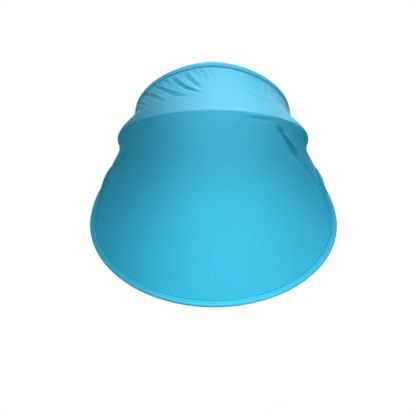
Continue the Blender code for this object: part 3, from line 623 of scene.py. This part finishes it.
# Hood section
gathers = [
    # height, half width, then the bent line: the photo's pixels read by eye, and other points as (place
    # along the ridge, share towards the hem), chosen by hand but for two: (-1.35, 0.95) is a scratch
    # script's answer, rounded, as a pixel there lies on the outline and finds no steady place, and
    # (-0.20, 0.352) is near another of its answers
    (2.6, 2.1, [(-0.60, 0.97), *onHood((155, 85), (161, 86.8), (167, 89), (173, 91.2), (185, 94)),
                (-0.15, 0.33)]),
    (-2.6, 3.0, [(-0.56, 0.89), *onHood((160, 89), (165, 91.2), (170, 93.8), (175, 95.4)),
                 (-0.20, 0.352), (-0.15, 0.29)]),
    (2.3, 2.1, [(-0.80, 0.97), *onHood((147, 92.8), (151, 93.5), (155, 94.8), (159, 96.5), (164, 98.7)),
                (-0.31, 0.30)]),
    (-2.4, 3.0, [(-0.78, 0.93), *onHood((149, 95.8), (154, 97.5), (159, 99.7), (165, 101.5)),
                 (-0.31, 0.25)]),
    (2.6, 2.2, [(-0.33, 0.94), *onHood((175.5, 76.2), (178, 79), (181, 82), (189, 87), (199.5, 90.6)),
                (-0.04, 0.39)]),
    (-2.8, 3.2, [(-0.37, 0.93), *onHood((172, 78.5), (175, 82.2), (179, 85.3), (184, 87.8), (195, 91.5)),
                 (-0.06, 0.37)]),
    (2.2, 2.2, [(-0.205, 0.93), *onHood((189, 72.8), (193, 78), (199.5, 83)), (-0.06, 0.54)]),
    (-2.3, 3.2, [(-0.24, 0.91), *onHood((185, 75), (188, 78.8), (191.5, 81.8), (199, 87.2)),
                 (-0.06, 0.45)]),
    (2.1, 2.4, [(-0.43, 0.95), *onHood((166.5, 79), (168.5, 80.8), (170.5, 82.2)), (-0.30, 0.67)]),
    (1.9, 2.2, [(-0.50, 0.96), *onHood((160.5, 81.2), (162.2, 83.2)), (-0.40, 0.75)]),
    (-1.5, 2.2, [(-0.46, 0.93), (-0.43, 0.86), (-0.39, 0.79)]),
    (1.9, 2.3, [(-1.05, 0.93), *onHood((140, 102), (143, 102.4), (146, 103.5), (149, 105.5))]),
    (-1.9, 3.0, [(-1.05, 0.90), *onHood((139, 104), (143, 105), (147, 107)), (-0.48, 0.27)]),
    (1.8, 2.3, [(-1.35, 0.95), (-1.05, 0.76), *onHood((140, 107.2), (143, 108.2)), (-0.50, 0.24)]),
    (-1.8, 3.0, [(-1.25, 0.83), *onHood((138, 109.5), (142, 110), (146, 111.5))]),
    (1.7, 2.4, [(-0.14, 0.93), *onHood((196.5, 70), (198.5, 72.5), (201.5, 75.5)), (-0.06, 0.70)]),
    (-1.7, 3.6, [(-0.11, 0.92), *onHood((200, 70), (202.5, 74), (205, 78), (207.5, 85))]),
    (1.0, 2.8, [(-0.07, 0.93), *onHood((205, 68.5), (206.5, 71.5)), (-0.03, 0.73)]),
    (-0.9, 3.4, [(-0.04, 0.91), *onHood((209, 71.5), (211.2, 74.5)), (0.005, 0.66)]),
    (-1.0, 3.6, [(0.365, 0.90), *onHood((256.5, 80), (258.5, 83.5)), (0.40, 0.70)]),
    (-1.3, 3.6, [(0.475, 0.82), *onHood((267.8, 91), (269.5, 95)), (0.465, 0.47)]),
    (-1.1, 3.2, [(0.575, 0.82), *onHood((273.8, 93.5), (274.6, 96.5)), (0.54, 0.54)]),
    (0.5, 4.5, [(0.25, 0.60), *onHood((257, 95), (269, 100)), (0.62, 0.57)]),
    (0.8, 3.6, [(0.44, 0.86), (0.44, 0.72), (0.43, 0.58)]),
]


def onCloth(grid, places, share, path):
    # the points of a bent line drawn on the cloth, by straight mixing between the grid's points
    alongLine, acrossLine = np.array(path).T
    column = np.interp(alongLine, places, np.arange(len(places)))
    row = np.interp(acrossLine, share, np.arange(len(share)))
    left = np.minimum(column.astype(int), len(places) - 2)
    near = np.minimum(row.astype(int), len(share) - 2)
    a, b = (column - left)[:, None], (row - near)[:, None]
    first = grid[left, near] * (1 - a) + grid[left + 1, near] * a
    second = grid[left, near + 1] * (1 - a) + grid[left + 1, near + 1] * a
    return first * (1 - b) + second * b


def strokeHeight(grid, places, share, strokes):
    # each stroke adds height times e^-(distance/width)^2 from its bent line, eased in and out at its ends
    height = np.zeros(grid.shape[:2])
    for rise, width, path in strokes:
        corners = onCloth(grid, places, share, path)
        count = int(lengthsAlong(corners)[-1] / (0.5 * width * mm)) + 6
        even = np.linspace(0, 1, count)
        line = evened(atShares(corners, even), stroke["evened"])
        away = np.linalg.norm(grid[:, :, None] - line, axis=-1)
        nearest = away.argmin(axis=-1)
        fade = smoothStep(even / stroke["start"]) * smoothStep((1 - even) / stroke["end"])
        height += rise * mm * np.exp(-((away.min(axis=-1) / (width * mm)) ** 2)) * fade[nearest]
    return height


def endOf(edge, share):
    # the strokes' share of height near an edge: 1, then down to 0 before the tape begins
    last, ease = edge["strokeEnd"]
    return smoothStep((last - share) / ease)


def outwardOf(normals):
    # the normals, turned so that they point up at the middle of the cloth
    return normals * np.sign(normals[len(normals) // 2, 5, 2])


def metresOn(grid):
    # the cloth's own UV: metres along its middle row, and metres across its middle column
    lengths = lengthsAlong(grid[:, grid.shape[1] // 2])
    rows = lengthsAlong(grid[len(grid) // 2])
    return np.stack(np.broadcast_arrays(lengths[:, None], rows[None, :]), axis=-1)


def buildHood():
    places, share = hoodPlaces(), hoodShare
    grid = plainHoodGrid
    line = grid[:, -1].copy()
    normals = normalsOf(grid)
    inward, up = edgeFrames(line, grid[:, -4], normals[:, -1], hem["evened"])
    outward = outwardOf(normals)
    height = strokeHeight(grid, places, share, gathers) * endOf(hem, share)
    grid = grid + outward * height[..., None]
    towards, across = peakDirections(places)
    grid = roundedAtRidge(grid, towards, across)
    keep = share < hem["clothEnd"]
    flat = np.stack([line + depth * inward for depth in (hem["band"], hem["band"] - hem["overlap"])], axis=1)
    grid = np.concatenate([grid[:, keep], flat], axis=1)
    normals = normalsOf(grid)
    normals[:, -2:] = up[:, None]
    # the hood section takes the knit with painted sheen
    made = addSheet("hoodCloth", grid, normals, metresOn(grid), cloth["thickness"], hoodSheenFinish)
    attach(made, "cover")
    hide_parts("hood_panel")
    return made, grid, normals, line, (inward, up)


def peakDirections(places):
    # which way the peak leaves the ridge at each place, and whether it is sewn there at all
    own = peakPlaces()
    grid, _ = plainPeak(own, np.linspace(0, 1, fine["peakRows"]))
    direction = unitOf(grid[:, 1] - grid[:, 0])
    across = np.abs(places) <= own[-1] + 1e-9
    return np.stack([np.interp(places, own, direction[:, axis]) for axis in range(3)], axis=-1), across


def hoodDirections(places):
    # which way the hood section leaves the ridge at each place
    share = np.linspace(0, 1, fine["hoodRows"])
    grid = plainHood(places, share)
    return unitOf(grid[:, 1] - grid[:, 0])


hoodCloth, hoodGrid, hoodNormals, hemEdge, hemFrames = buildHood()
print("hood section made")

# Peak
creases = [
    # height, half width, then the bent line as (place along the ridge, share towards the rim); the points
    # were found from the photo by a scratch script on an earlier shape, and some then moved by hand
    (4.6, 2.2, [(0.462, 0.15), (0.466, 0.21), (0.472, 0.262), (0.481, 0.318), (0.490, 0.37),
                (0.505, 0.45)]),
    (-4.9, 5.2, [(0.42, 0.08), (0.434, 0.15), (0.439, 0.221), (0.438, 0.30), (0.442, 0.40),
                 (0.455, 0.49), (0.47, 0.60)]),
    (1.0, 5.0, [(0.405, 0.34), (0.424, 0.42), (0.438, 0.53), (0.45, 0.60), (0.465, 0.72)]),
    (-2.6, 3.2, [(0.475, 0.50), (0.485, 0.60), (0.50, 0.70), (0.51, 0.82), (0.50, 0.97)]),
    (0.8, 4.5, [(0.20, 0.012), (0.283, 0.016), (0.357, 0.021), (0.42, 0.03)]),
    (-0.7, 4.5, [(0.22, 0.045), (0.292, 0.047), (0.358, 0.053), (0.44, 0.062)]),
    (3.6, 2.1, [(-0.495, 0.33), (-0.502, 0.43), (-0.505, 0.49), (-0.515, 0.56), (-0.531, 0.644),
                (-0.547, 0.76), (-0.55, 0.90)]),
    (-4.2, 3.4, [(-0.545, 0.42), (-0.56, 0.57), (-0.58, 0.65), (-0.605, 0.742), (-0.628, 0.851),
                 (-0.635, 0.97)]),
    (2.0, 2.0, [(-0.592, 0.32), (-0.597, 0.40), (-0.595, 0.47), (-0.60, 0.53)]),
    (-2.0, 7.0, [(-0.42, 0.02), (-0.45, 0.15), (-0.46, 0.34), (-0.48, 0.55)]),
]


def buildPeak():
    places = peakPlaces()
    even = gradedRows(fine["peakRows"], fine["foldRows"], fine["peakFold"])
    grid, edge = plainPeak(places, even)
    normals = -normalsOf(grid)
    inward, up = edgeFrames(edge, grid[:, -3], normals[:, -1], rim["evened"])
    outward = outwardOf(normals)
    height = strokeHeight(grid, places, even, creases)
    height *= smoothStep(even / peak["strokeStart"]) * endOf(peak, even)
    grid = grid + outward * height[..., None]
    grid = roundedAtRidge(grid, hoodDirections(places), np.ones(len(places), bool))
    last = [edge + depth * inward for depth in (rim["band"] + 0.3 * mm, rim["neck"])]
    grid = np.concatenate([grid[:, :-1], np.stack(last, axis=1)], axis=1)
    normals = -normalsOf(grid)
    normals[:, -2:] = up[:, None]
    made = addSheet("peakCloth", grid, normals, metresOn(grid), cloth["thickness"], clothFinish)
    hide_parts("visor_panel")
    return made, grid, edge, (inward, up)


peakCloth, peakGrid, rimEdge, rimFrames = buildPeak()
print("peak made")


thread = {"pitch": 3.0 * mm, "length": 2.5 * mm, "radius": 0.42 * mm, "flat": 0.7, "sunk": 0.35 * mm}


def attached(piece, body, slot, *nodes):
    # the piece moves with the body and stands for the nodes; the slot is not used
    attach(piece, body)
    if nodes:
        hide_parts(*nodes)
    return piece


def threadPair(names, line, up, depth, body, slot, stitch=thread, material=threadFinish):
    # two rows of stitches back to back, one lifted by the depth over each face of a piece
    return [attached(addStitches(name, line + face * depth * up, face * up, stitch, material), body, slot)
            for name, face in zip(names, (1, -1))]


def flipped(low):
    # a lower leg of a profile carried on, last point first, as the upper leg
    return [(inward, -up) for inward, up in low[::-1]]


def groovesOf(profile, seam):
    # painted shade down the stitched groove: 1 at its bottom, fading to nothing a millimetre to each side of
    # it
    return np.clip(1 - np.abs(profile[:, 0] - seam) / mm, 0, 1)


def stitchedProfile(outer, slot, band, seam, start):
    # the lower leg of a folded tape: from the fold to its edge, with a groove pressed in by the stitches;
    # the depths are millimetres up from its outer face
    leg = [(start, -0.1), (seam - 1.5 * mm, -0.12), (seam - 0.8 * mm, 0.1), (seam, 0.38),
           (seam + 0.7 * mm, 0.1), (band - 0.45 * mm, 0), (band - 0.08 * mm, 0.18)]
    leg = [(inward, -outer + up * mm) for inward, up in leg]
    return leg + [(band, -(outer + slot) / 2), (band - 0.12 * mm, -slot)]


def wirePocketProfile():
    # round over the wire, a pinched neck, then flat on both faces of the cloth to the tape's edge
    outer = rim["room"] + rim["tape"]
    bulge = arcOf((0, 0), outer, 48, 312, 26)
    low = [(2.25 * mm, -1.65 * mm)]
    low += stitchedProfile(rim["slot"] + rim["tape"], rim["slot"], rim["band"], rim["seam"], 2.9 * mm)
    inner = arcOf((0, 0), rim["room"], 300, 60, 14)
    low += [(rim["neck"], -rim["slot"])]
    return np.concatenate([bulge, low, inner, flipped(low)])


def buildRimTape():
    inward, up = rimFrames
    profile = wirePocketProfile()
    rings = ringsOn(rimEdge, inward, up, profile)
    made = addSweep("rimTape", rings, rimFinish, grooves=groovesOf(profile, rim["seam"]))
    attached(made, "visor", "rim", "rim_binding")
    depth = rim["slot"] + rim["tape"] - thread["sunk"]
    seam = rimEdge + rim["seam"] * inward
    return made, threadPair(("rimStitchesTop", "rimStitchesUnder"), seam, up, depth, "visor", "rim")


rimTape, rimThreads = buildRimTape()


def foldedHemProfile():
    # half a circle round the fold, then flat on both faces of the cloth to the band's edge
    room = cloth["thickness"] / 2 + hem["room"]
    outer = room + hem["tape"]
    fold = arcOf((0, 0), outer, 90, 270, 12)
    low = stitchedProfile(outer, room, hem["band"], hem["seam"], 1.5 * mm)
    return np.concatenate([fold, low, arcOf((0, 0), room, 270, 90, 6), flipped(low)])


def buildRearHem():
    inward, up = hemFrames
    profile = foldedHemProfile()
    rings = ringsOn(hemEdge, inward, up, profile)
    made = addSweep("rearHem", rings, hemFinish, grooves=groovesOf(profile, hem["seam"]))
    attached(made, "cover", "hem", "rear_hem")
    # the elastic lies flat between the fold and the cloth's edge, with its own edges thinned
    thin, wide = hem["elastic"] / 2, hem["band"] - hem["overlap"] - hem["room"]
    strip = [(0.3 * mm, -thin * 0.6), (0.8 * mm, -thin), (wide - 0.5 * mm, -thin), (wide, -thin * 0.6)]
    elastic = addSweep("rearElastic", ringsOn(hemEdge, inward, up, strip + flipped(strip)), elasticFinish)
    attached(elastic, "cover", "elastic", "rear_elastic")
    depth = cloth["thickness"] / 2 + hem["room"] + hem["tape"] - thread["sunk"]
    seam = hemEdge + hem["seam"] * inward
    return made, elastic, threadPair(("hemStitchesOut", "hemStitchesIn"), seam, up, depth, "cover", "hem")


rearHem, rearElastic, hemThreads = buildRearHem()
print("rim and hem made")

# Lower edges of the flanks
sideHem = {
    "width": 8 * mm, "half": 1.2 * mm, "gap": 0.3 * mm, "seam": 6.4 * mm, "lip": 1.6 * mm,
    "slot": 0.62 * mm, "sunk": 0.25 * mm,
}


def buildSideHem(side, end):
    # a flat roll of cloth below the edge of the flank, with two lips that hold the edge and a stitched groove
    edge = hoodGrid[end, :-2]
    following = hoodGrid[1 if end == 0 else -2, :-2]
    tangent = unitOf(np.gradient(edge, axis=0))
    down = squared(edge - following, tangent)
    up = squared(hoodNormals[end, :-2], tangent)
    half, wide, seam = sideHem["half"], sideHem["width"], sideHem["seam"]
    lip, slot = sideHem["lip"], sideHem["slot"]
    low = [(sideHem["gap"], -slot), (-lip, -slot), (-lip, -slot - 0.3 * mm), (-lip + 0.5 * mm, -half),
           (seam - 0.8 * mm, -half), (seam, -half + 0.3 * mm), (seam + 0.6 * mm, -half * 0.95),
           (wide - 0.6 * mm, -half), (wide, -half * 0.4)]
    profile = np.array(low + flipped(low))
    rings = ringsOn(edge, down, up, profile)
    made = addSweep("sideHem_" + side, rings, hemFinish, grooves=groovesOf(profile, seam))
    attached(made, "cover", "hem", "side_binding_" + side)
    names = [f"sideStitches{face}_{side}" for face in ("Out", "In")]
    return made, threadPair(names, edge + seam * down, up, half - sideHem["sunk"], "cover", "hem")


sideHems = [buildSideHem("left", 0), buildSideHem("right", -1)]

# Seam tape inside the ridge
seamTape = {"wing": 5 * mm, "thickness": 0.9 * mm, "drop": 1.15 * mm, "rows": 18, "steps": 6, "seamRow": 2}


def rowsAt(grid, own, places):
    # the grid's rows read off at other places along the ridge
    return np.stack([[np.interp(places, own, grid[:, row, axis]) for axis in range(3)]
                     for row in range(grid.shape[1])]).transpose(2, 0, 1)


def buildRidgeTape():
    # the line over the fold from one wing to the other, moved inwards, then given its thickness
    places = peakPlaces()
    rows, steps = seamTape["rows"], seamTape["steps"]
    every = np.arange(len(places))[:, None]
    wings = []
    for grid in (rowsAt(hoodGrid[:, :rows], hoodPlaces(), places), peakGrid[:, :rows]):
        lengths = np.linalg.norm(np.diff(grid, axis=1), axis=-1).cumsum(axis=1)
        lengths = np.concatenate([np.zeros((len(places), 1)), lengths], axis=1)
        wanted = np.linspace(0, seamTape["wing"], steps + 1)
        inside = np.clip((lengths[:, :, None] <= wanted).sum(axis=1) - 1, 0, grid.shape[1] - 2)
        part = (wanted - lengths[every, inside]) / (lengths[every, inside + 1] - lengths[every, inside])
        wings.append(grid[every, inside] * (1 - part[..., None]) + grid[every, inside + 1] * part[..., None])
    line = np.concatenate([wings[0][:, ::-1], wings[1][:, 1:]], axis=1)
    normals = normalsOf(line)
    normals *= np.sign(normals[len(places) // 2, steps, 2])
    middle = line - normals * (seamTape["drop"] + seamTape["thickness"] / 2)
    across = np.linspace(0, 2 * seamTape["wing"], 2 * steps + 1)
    uv = np.stack(np.broadcast_arrays(lengthsAlong(line[:, steps])[:, None], across), axis=-1)
    made = addSheet("ridgeTape", middle, normals, uv, seamTape["thickness"], tapeFinish)
    attached(made, "cover", "tape", "ridge_tape")
    threads = []
    for name, row in (("Back", seamTape["seamRow"]), ("Front", 2 * steps - seamTape["seamRow"])):
        under = middle[:, row] - normals[:, row] * (seamTape["thickness"] / 2 - 0.1 * mm)
        stitches = addStitches("ridgeStitches" + name, under, -normals[:, row], thread, threadFinish)
        threads.append(attached(stitches, "cover", "tape"))
    return made, threads


ridgeTape, ridgeThreads = buildRidgeTape()
print("side hems and ridge tape made")

# Pockets that hold the wire's ends
pocket = {
    # angles in degrees; the shares run from the eyelet to the edge
    "wall": 1.2 * mm, "hole": 3.5 * mm, "open": 197, "openHalf": 42, "openEase": 25, "corner": 3.4,
    "around": 72, "plate": 0.6, "riseFrom": 0.62, "riseBend": 0.8,
    "seamIn": 0.8 * mm, "seamClear": 8, "seamFront": -23.5 * mm,
}


def buildPocket(side, sign):
    # a shell round the eyelet: the distance from the pivot and the depth follow one line that is
    # carried round, rising to the flank all round its edge except towards the front
    low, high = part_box("pivot_pocket_" + side)
    plate, seat = (low[0], high[0]) if sign > 0 else (-high[0], -low[0])
    angle = np.linspace(0, math.tau, pocket["around"], endpoint=False)
    front, back = rim["back"] - low[1], high[1] - rim["back"]
    foot, top = rim["up"] - low[2], high[2] - rim["up"]
    halfY = np.where(np.cos(angle) > 0, back, front) - pocket["wall"] / 2
    halfZ = np.where(np.sin(angle) > 0, top, foot) - pocket["wall"] / 2
    power = pocket["corner"]
    reach = (np.abs(np.cos(angle) / halfY) ** power + np.abs(np.sin(angle) / halfZ) ** power) ** (-1 / power)
    fromOpen = np.abs((np.degrees(angle) - pocket["open"] + 180) % 360 - 180)
    closed = smoothStep((fromOpen - pocket["openHalf"]) / pocket["openEase"])
    share = np.concatenate([np.linspace(0, pocket["plate"], 6)[:-1], np.linspace(pocket["plate"], 1, 12)])
    away = pocket["hole"] + (reach[:, None] - pocket["hole"]) * share
    climb = smoothStep((share - pocket["riseFrom"]) / (1 - pocket["riseFrom"])) ** pocket["riseBend"]
    rise = (seat - plate - pocket["wall"]) * closed[:, None] * climb
    curve = np.stack([away, plate + pocket["wall"] / 2 + rise], axis=-1)
    step = unitOf(np.gradient(curve, axis=1))
    square = np.stack([-step[..., 1], step[..., 0]], axis=-1) * pocket["wall"] / 2
    section = np.concatenate([curve + square, (curve - square)[:, ::-1]], axis=1)
    rings = np.stack([sign * section[..., 1],
                      rim["back"] + section[..., 0] * np.cos(angle)[:, None],
                      rim["up"] + section[..., 0] * np.sin(angle)[:, None]], axis=-1)
    made = addSweep("pivotPocket_" + side, rings, clothFinish, closed=True)
    attached(made, "cover", "cloth", "pivot_pocket_" + side)
    # its stitches come through the flank, on the outside
    beside = (hoodGrid[:, :-2, 0] * sign > 0.1) & (hoodGrid[:, :-2, 1] < 0.02)
    flank, outward = hoodGrid[:, :-2][beside], hoodNormals[:, :-2][beside]
    outward = outward * np.sign(outward[:, :1]) * sign
    sewn = fromOpen > pocket["openHalf"] + pocket["seamClear"]
    sewn &= rim["back"] + reach * np.cos(angle) > pocket["seamFront"]
    order = np.argsort((np.degrees(angle[sewn]) - pocket["open"]) % 360)
    y = (rim["back"] + (reach - pocket["seamIn"]) * np.cos(angle))[sewn][order]
    z = (rim["up"] + (reach - pocket["seamIn"]) * np.sin(angle))[sewn][order]
    nearest = ((flank[None, :, 1] - y[:, None]) ** 2 + (flank[None, :, 2] - z[:, None]) ** 2).argmin(axis=1)
    x = evened(flank[nearest, 0][:, None] + outward[nearest, 0][:, None] * cloth["thickness"] / 2, 3)[:, 0]
    line = np.stack([x, y, z], axis=-1)
    threads = addStitches("pocketStitches_" + side, line, outward[nearest], thread, threadFinish)
    return made, attached(threads, "cover", "cloth")


pockets = [buildPocket("left", -1), buildPocket("right", 1)]

# Corner straps
strap = {
    "thickness": 1.5 * mm, "sewn": 9 * mm, "behind": 4 * mm, "straight": 20 * mm, "shortBy": 2 * mm,
    "layer": 4.4 * mm, "steps": 28, "edge": 0.35 * mm,
    "boxNear": 1.6 * mm, "boxFar": 7.6 * mm, "boxTop": 16.4 * mm, "sunk": 0.05 * mm,
}
strapThread = {"pitch": 2.2 * mm, "length": 1.8 * mm, "radius": 0.3 * mm, "flat": 0.8}


def buildStrap(side, sign):
    # webbing from the hem's corner back round the frame tube and forwards again, closed on itself
    low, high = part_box("strap_" + side)
    half = strap["thickness"] / 2
    inner, outer = sorted((sign * low[0], sign * high[0]))
    inner, outer = inner + half, outer - half
    tail = outer - strap["layer"]
    start = low[1] + strap["sewn"] + strap["behind"]
    end = start + strap["straight"]
    steps = strap["steps"]
    far = arcOf(((outer + inner) / 2, end), (outer - inner) / 2, 0, 180, steps)
    near = arcOf(((tail + inner) / 2, start), (tail - inner) / 2, 180, 360, steps)
    runs = [np.linspace((outer, low[1]), (outer, end), 20)[:-1], far, near[1:],
            np.linspace((tail, start), (tail, end - strap["shortBy"]), 12)[1:]]
    path = np.concatenate(runs)
    step = unitOf(np.gradient(path, axis=0))
    square = np.stack([-step[:, 1], step[:, 0]], axis=-1)
    # thin at both edges and a little dished between them
    edge = strap["edge"]
    heights = np.array([low[2], low[2] + edge, (low[2] + high[2]) / 2, high[2] - edge, high[2]])
    across = np.array([0.45, 1.0, 0.94, 1.0, 0.45]) * half
    flat = np.concatenate([np.stack([-across, heights], axis=-1), np.stack([across, heights], axis=-1)[::-1]])
    xy = path[:, None] + square[:, None] * flat[None, :, :1]
    rings = np.concatenate([xy * (sign, 1), np.broadcast_to(flat[:, 1], xy.shape[:2])[..., None]], axis=-1)
    made = addSweep("strap_" + side + "_webbing", rings, webbingFinish)
    attached(made, "cover", "webbing", "strap_" + side)
    # sewn to the hem by stitches round a box and along one of its diagonals
    first, last, top = strap["boxNear"], strap["boxFar"], strap["boxTop"]
    box = [(first, first), (last, first), (last, top), (first, top), (first, first), (last, top)]
    corners = np.array([(outer * sign, low[1] + back, low[2] + rise) for back, rise in box])
    line = atShares(corners, np.linspace(0, 1, 120))
    towards = np.broadcast_to(np.array([sign, 0.0, 0.0]), line.shape)
    names = [f"strapStitches{face}_{side}" for face in ("Out", "In")]
    depth = half - strap["sunk"]
    threadPair(names, line, towards, depth, "cover", "webbing", strapThread, darkThread)


for side, sign in (("left", -1), ("right", 1)):
    buildStrap(side, sign)

# Hook and loop patches
patch = {
    "grid": 66, "hookPitch": 1.25 * mm, "loopPitch": 1.9 * mm, "relief": 0.22 * mm, "corner": 8, "bare": 0.08,
}


def buildPatch(kind, side, sign, pitch, material):
    # a thin pad: its outline is a superellipse, and its thickness has rows of small bumps
    node = f"{kind}_patch_{side}"
    low, high = (np.array(corner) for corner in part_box(node))
    even = np.linspace(-1, 1, patch["grid"])
    u, v = np.meshgrid(even, even, indexing="ij")
    power = patch["corner"]
    biggest = np.maximum(np.abs(u), np.abs(v)) + 1e-9
    inward = biggest / (np.abs(u) ** power + np.abs(v) ** power + 1e-12) ** (1 / power)
    middle, half = (low + high) / 2, (high - low) / 2
    y, z = middle[1] + half[1] * u * inward, middle[2] + half[2] * v * inward
    grid = np.stack([np.full_like(u, middle[0]), y, z], axis=-1)
    shifted = 0.5 * math.pi * (kind == "loop")
    bumps = np.abs(np.sin(math.pi * y / pitch) * np.sin(math.pi * z / pitch + shifted))
    edge = smoothStep((1 - biggest) / patch["bare"])
    thickness = 2 * half[0] - patch["relief"] * 2 * (1 - bumps * edge)
    normals = np.broadcast_to(np.array([sign, 0.0, 0.0]), grid.shape)
    made = addSheet(f"{kind}Patch_{side}", grid, normals, grid[..., 1:], thickness, material)
    attached(made, "cover", "hook_and_loop", node)


kinds = (("hook", patch["hookPitch"], hookFinish), ("loop", patch["loopPitch"], loopFinish))
for kind, pitch, material in kinds:
    for side, sign in (("left", -1), ("right", 1)):
        buildPatch(kind, side, sign, pitch, material)
print("pockets, straps and patches made")

# Camera, light and stage
camera = bpy.data.cameras.new("camera")
camera.sensor_width = view["sensor"]
camera.lens = view["lens"]
camera.clip_start, camera.clip_end = 0.01, 100
cameraObject = addObject("camera", camera)
cameraObject.location = view["place"]
cameraObject.rotation_euler = (math.radians(90 - view["pitch"]), 0, 0)
bpy.context.scene.camera = cameraObject

lamps = {
    # soft pools of light: three from behind, one over the hood section, one from the front and one at
    # the left rim, each with its place, its target, its cone in degrees, its radius and its power
    "behindLeft": ((-0.2, 0.6, 1.1), (0.1, -0.1, -0.1), 22, 0.08, 40.0),
    "behindRight": ((0.2, 0.6, 1.1), (0, -0.18, -0.17), 12, 0.08, 70.0),
    "lowRight": ((0.5, 1.0, 0.6), (0.1, -0.26, -0.24), 13, 0.08, 37.0),
    "crown": ((0.15, -0.5, 1.2), (0.02, 0.12, 0.08), 22, 0.08, 43.5),
    "front": ((0.5, -1.1, 0.5), (0.04, -0.24, -0.22), 28, 0.10, 39.5),
    "left": ((-0.9, -0.3, 0.25), (-0.2, -0.2, -0.19), 24, 0.08, 1.3),
}
for name, (place, target, cone, soft, power) in lamps.items():
    light = bpy.data.lights.new(name, "SPOT")
    light.spot_size = math.radians(cone)
    light.spot_blend = 1.0
    light.shadow_soft_size = soft
    light.energy = power
    lightObject = addObject(name, light)
    lightObject.location = place
    direction = Vector(target) - Vector(place)
    lightObject.rotation_euler = direction.to_track_quat("-Z", "Y").to_euler()
    lightObject.visible_camera = False

# white where the camera sees it, directly or in glossy and clear things, and much weaker as a light
room = {
    "light": 0.28, "seen": 1.0,
    "floorGlow": 0.78, "floorTone": 0.8, "floorHeight": -0.86, "floorHalf": 4.0,
}
world = bpy.data.worlds.new("studio")
world.use_nodes = True
bpy.context.scene.world = world
tree = world.node_tree
background = tree.nodes["Background"]
path = tree.nodes.new("ShaderNodeLightPath")
seen = path.outputs["Is Camera Ray"]
for ray in ("Is Glossy Ray", "Is Transmission Ray"):
    either = tree.nodes.new("ShaderNodeMath")
    either.operation = "MAXIMUM"
    tree.links.new(seen, either.inputs[0])
    tree.links.new(path.outputs[ray], either.inputs[1])
    seen = either.outputs[0]
strength = tree.nodes.new("ShaderNodeMapRange")
strength.inputs["To Min"].default_value = room["light"]
strength.inputs["To Max"].default_value = room["seen"]
tree.links.new(seen, strength.inputs["Value"])
tree.links.new(strength.outputs[0], background.inputs["Strength"])
background.inputs["Color"].default_value = (1, 1, 1, 1)

bpy.context.scene.view_settings.view_transform = "Standard"


def buildFloor():
    # plain white, partly bright of itself where it is seen, so that it stays white and keeps a shadow
    made = Nodes("paleFloor")
    path = made.add("ShaderNodeLightPath")
    seen = made.math("MAXIMUM", path.outputs["Is Camera Ray"], path.outputs["Is Glossy Ray"])
    seen = made.math("MAXIMUM", seen, path.outputs["Is Transmission Ray"])
    finish = made.finished({
        "Base Color": (*[room["floorTone"]] * 3, 1), "Roughness": 0.9, "Specular IOR Level": 0.0,
        "Emission Color": (1, 1, 1, 1), "Emission Strength": made.math("MULTIPLY", seen, room["floorGlow"])})
    half = room["floorHalf"]
    square = ((-half, -half), (half, -half), (half, half), (-half, half))
    corners = [(x, y, room["floorHeight"]) for x, y in square]
    return addMesh("floor", corners, [[0, 1, 2, 3]], finish, smooth=False)


buildFloor()
print("camera and light made")

# the CAD's own pieces that show keep their shapes and get finer materials
for node, finish in (("rim_wire", wireFinish), ("pivot_eyelet_left", eyeletFinish),
                     ("pivot_eyelet_right", eyeletFinish), ("wire_cap_left", capFinish),
                     ("wire_cap_right", capFinish)):
    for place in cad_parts[node].material_slots:
        place.material = finish

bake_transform(peakCloth)
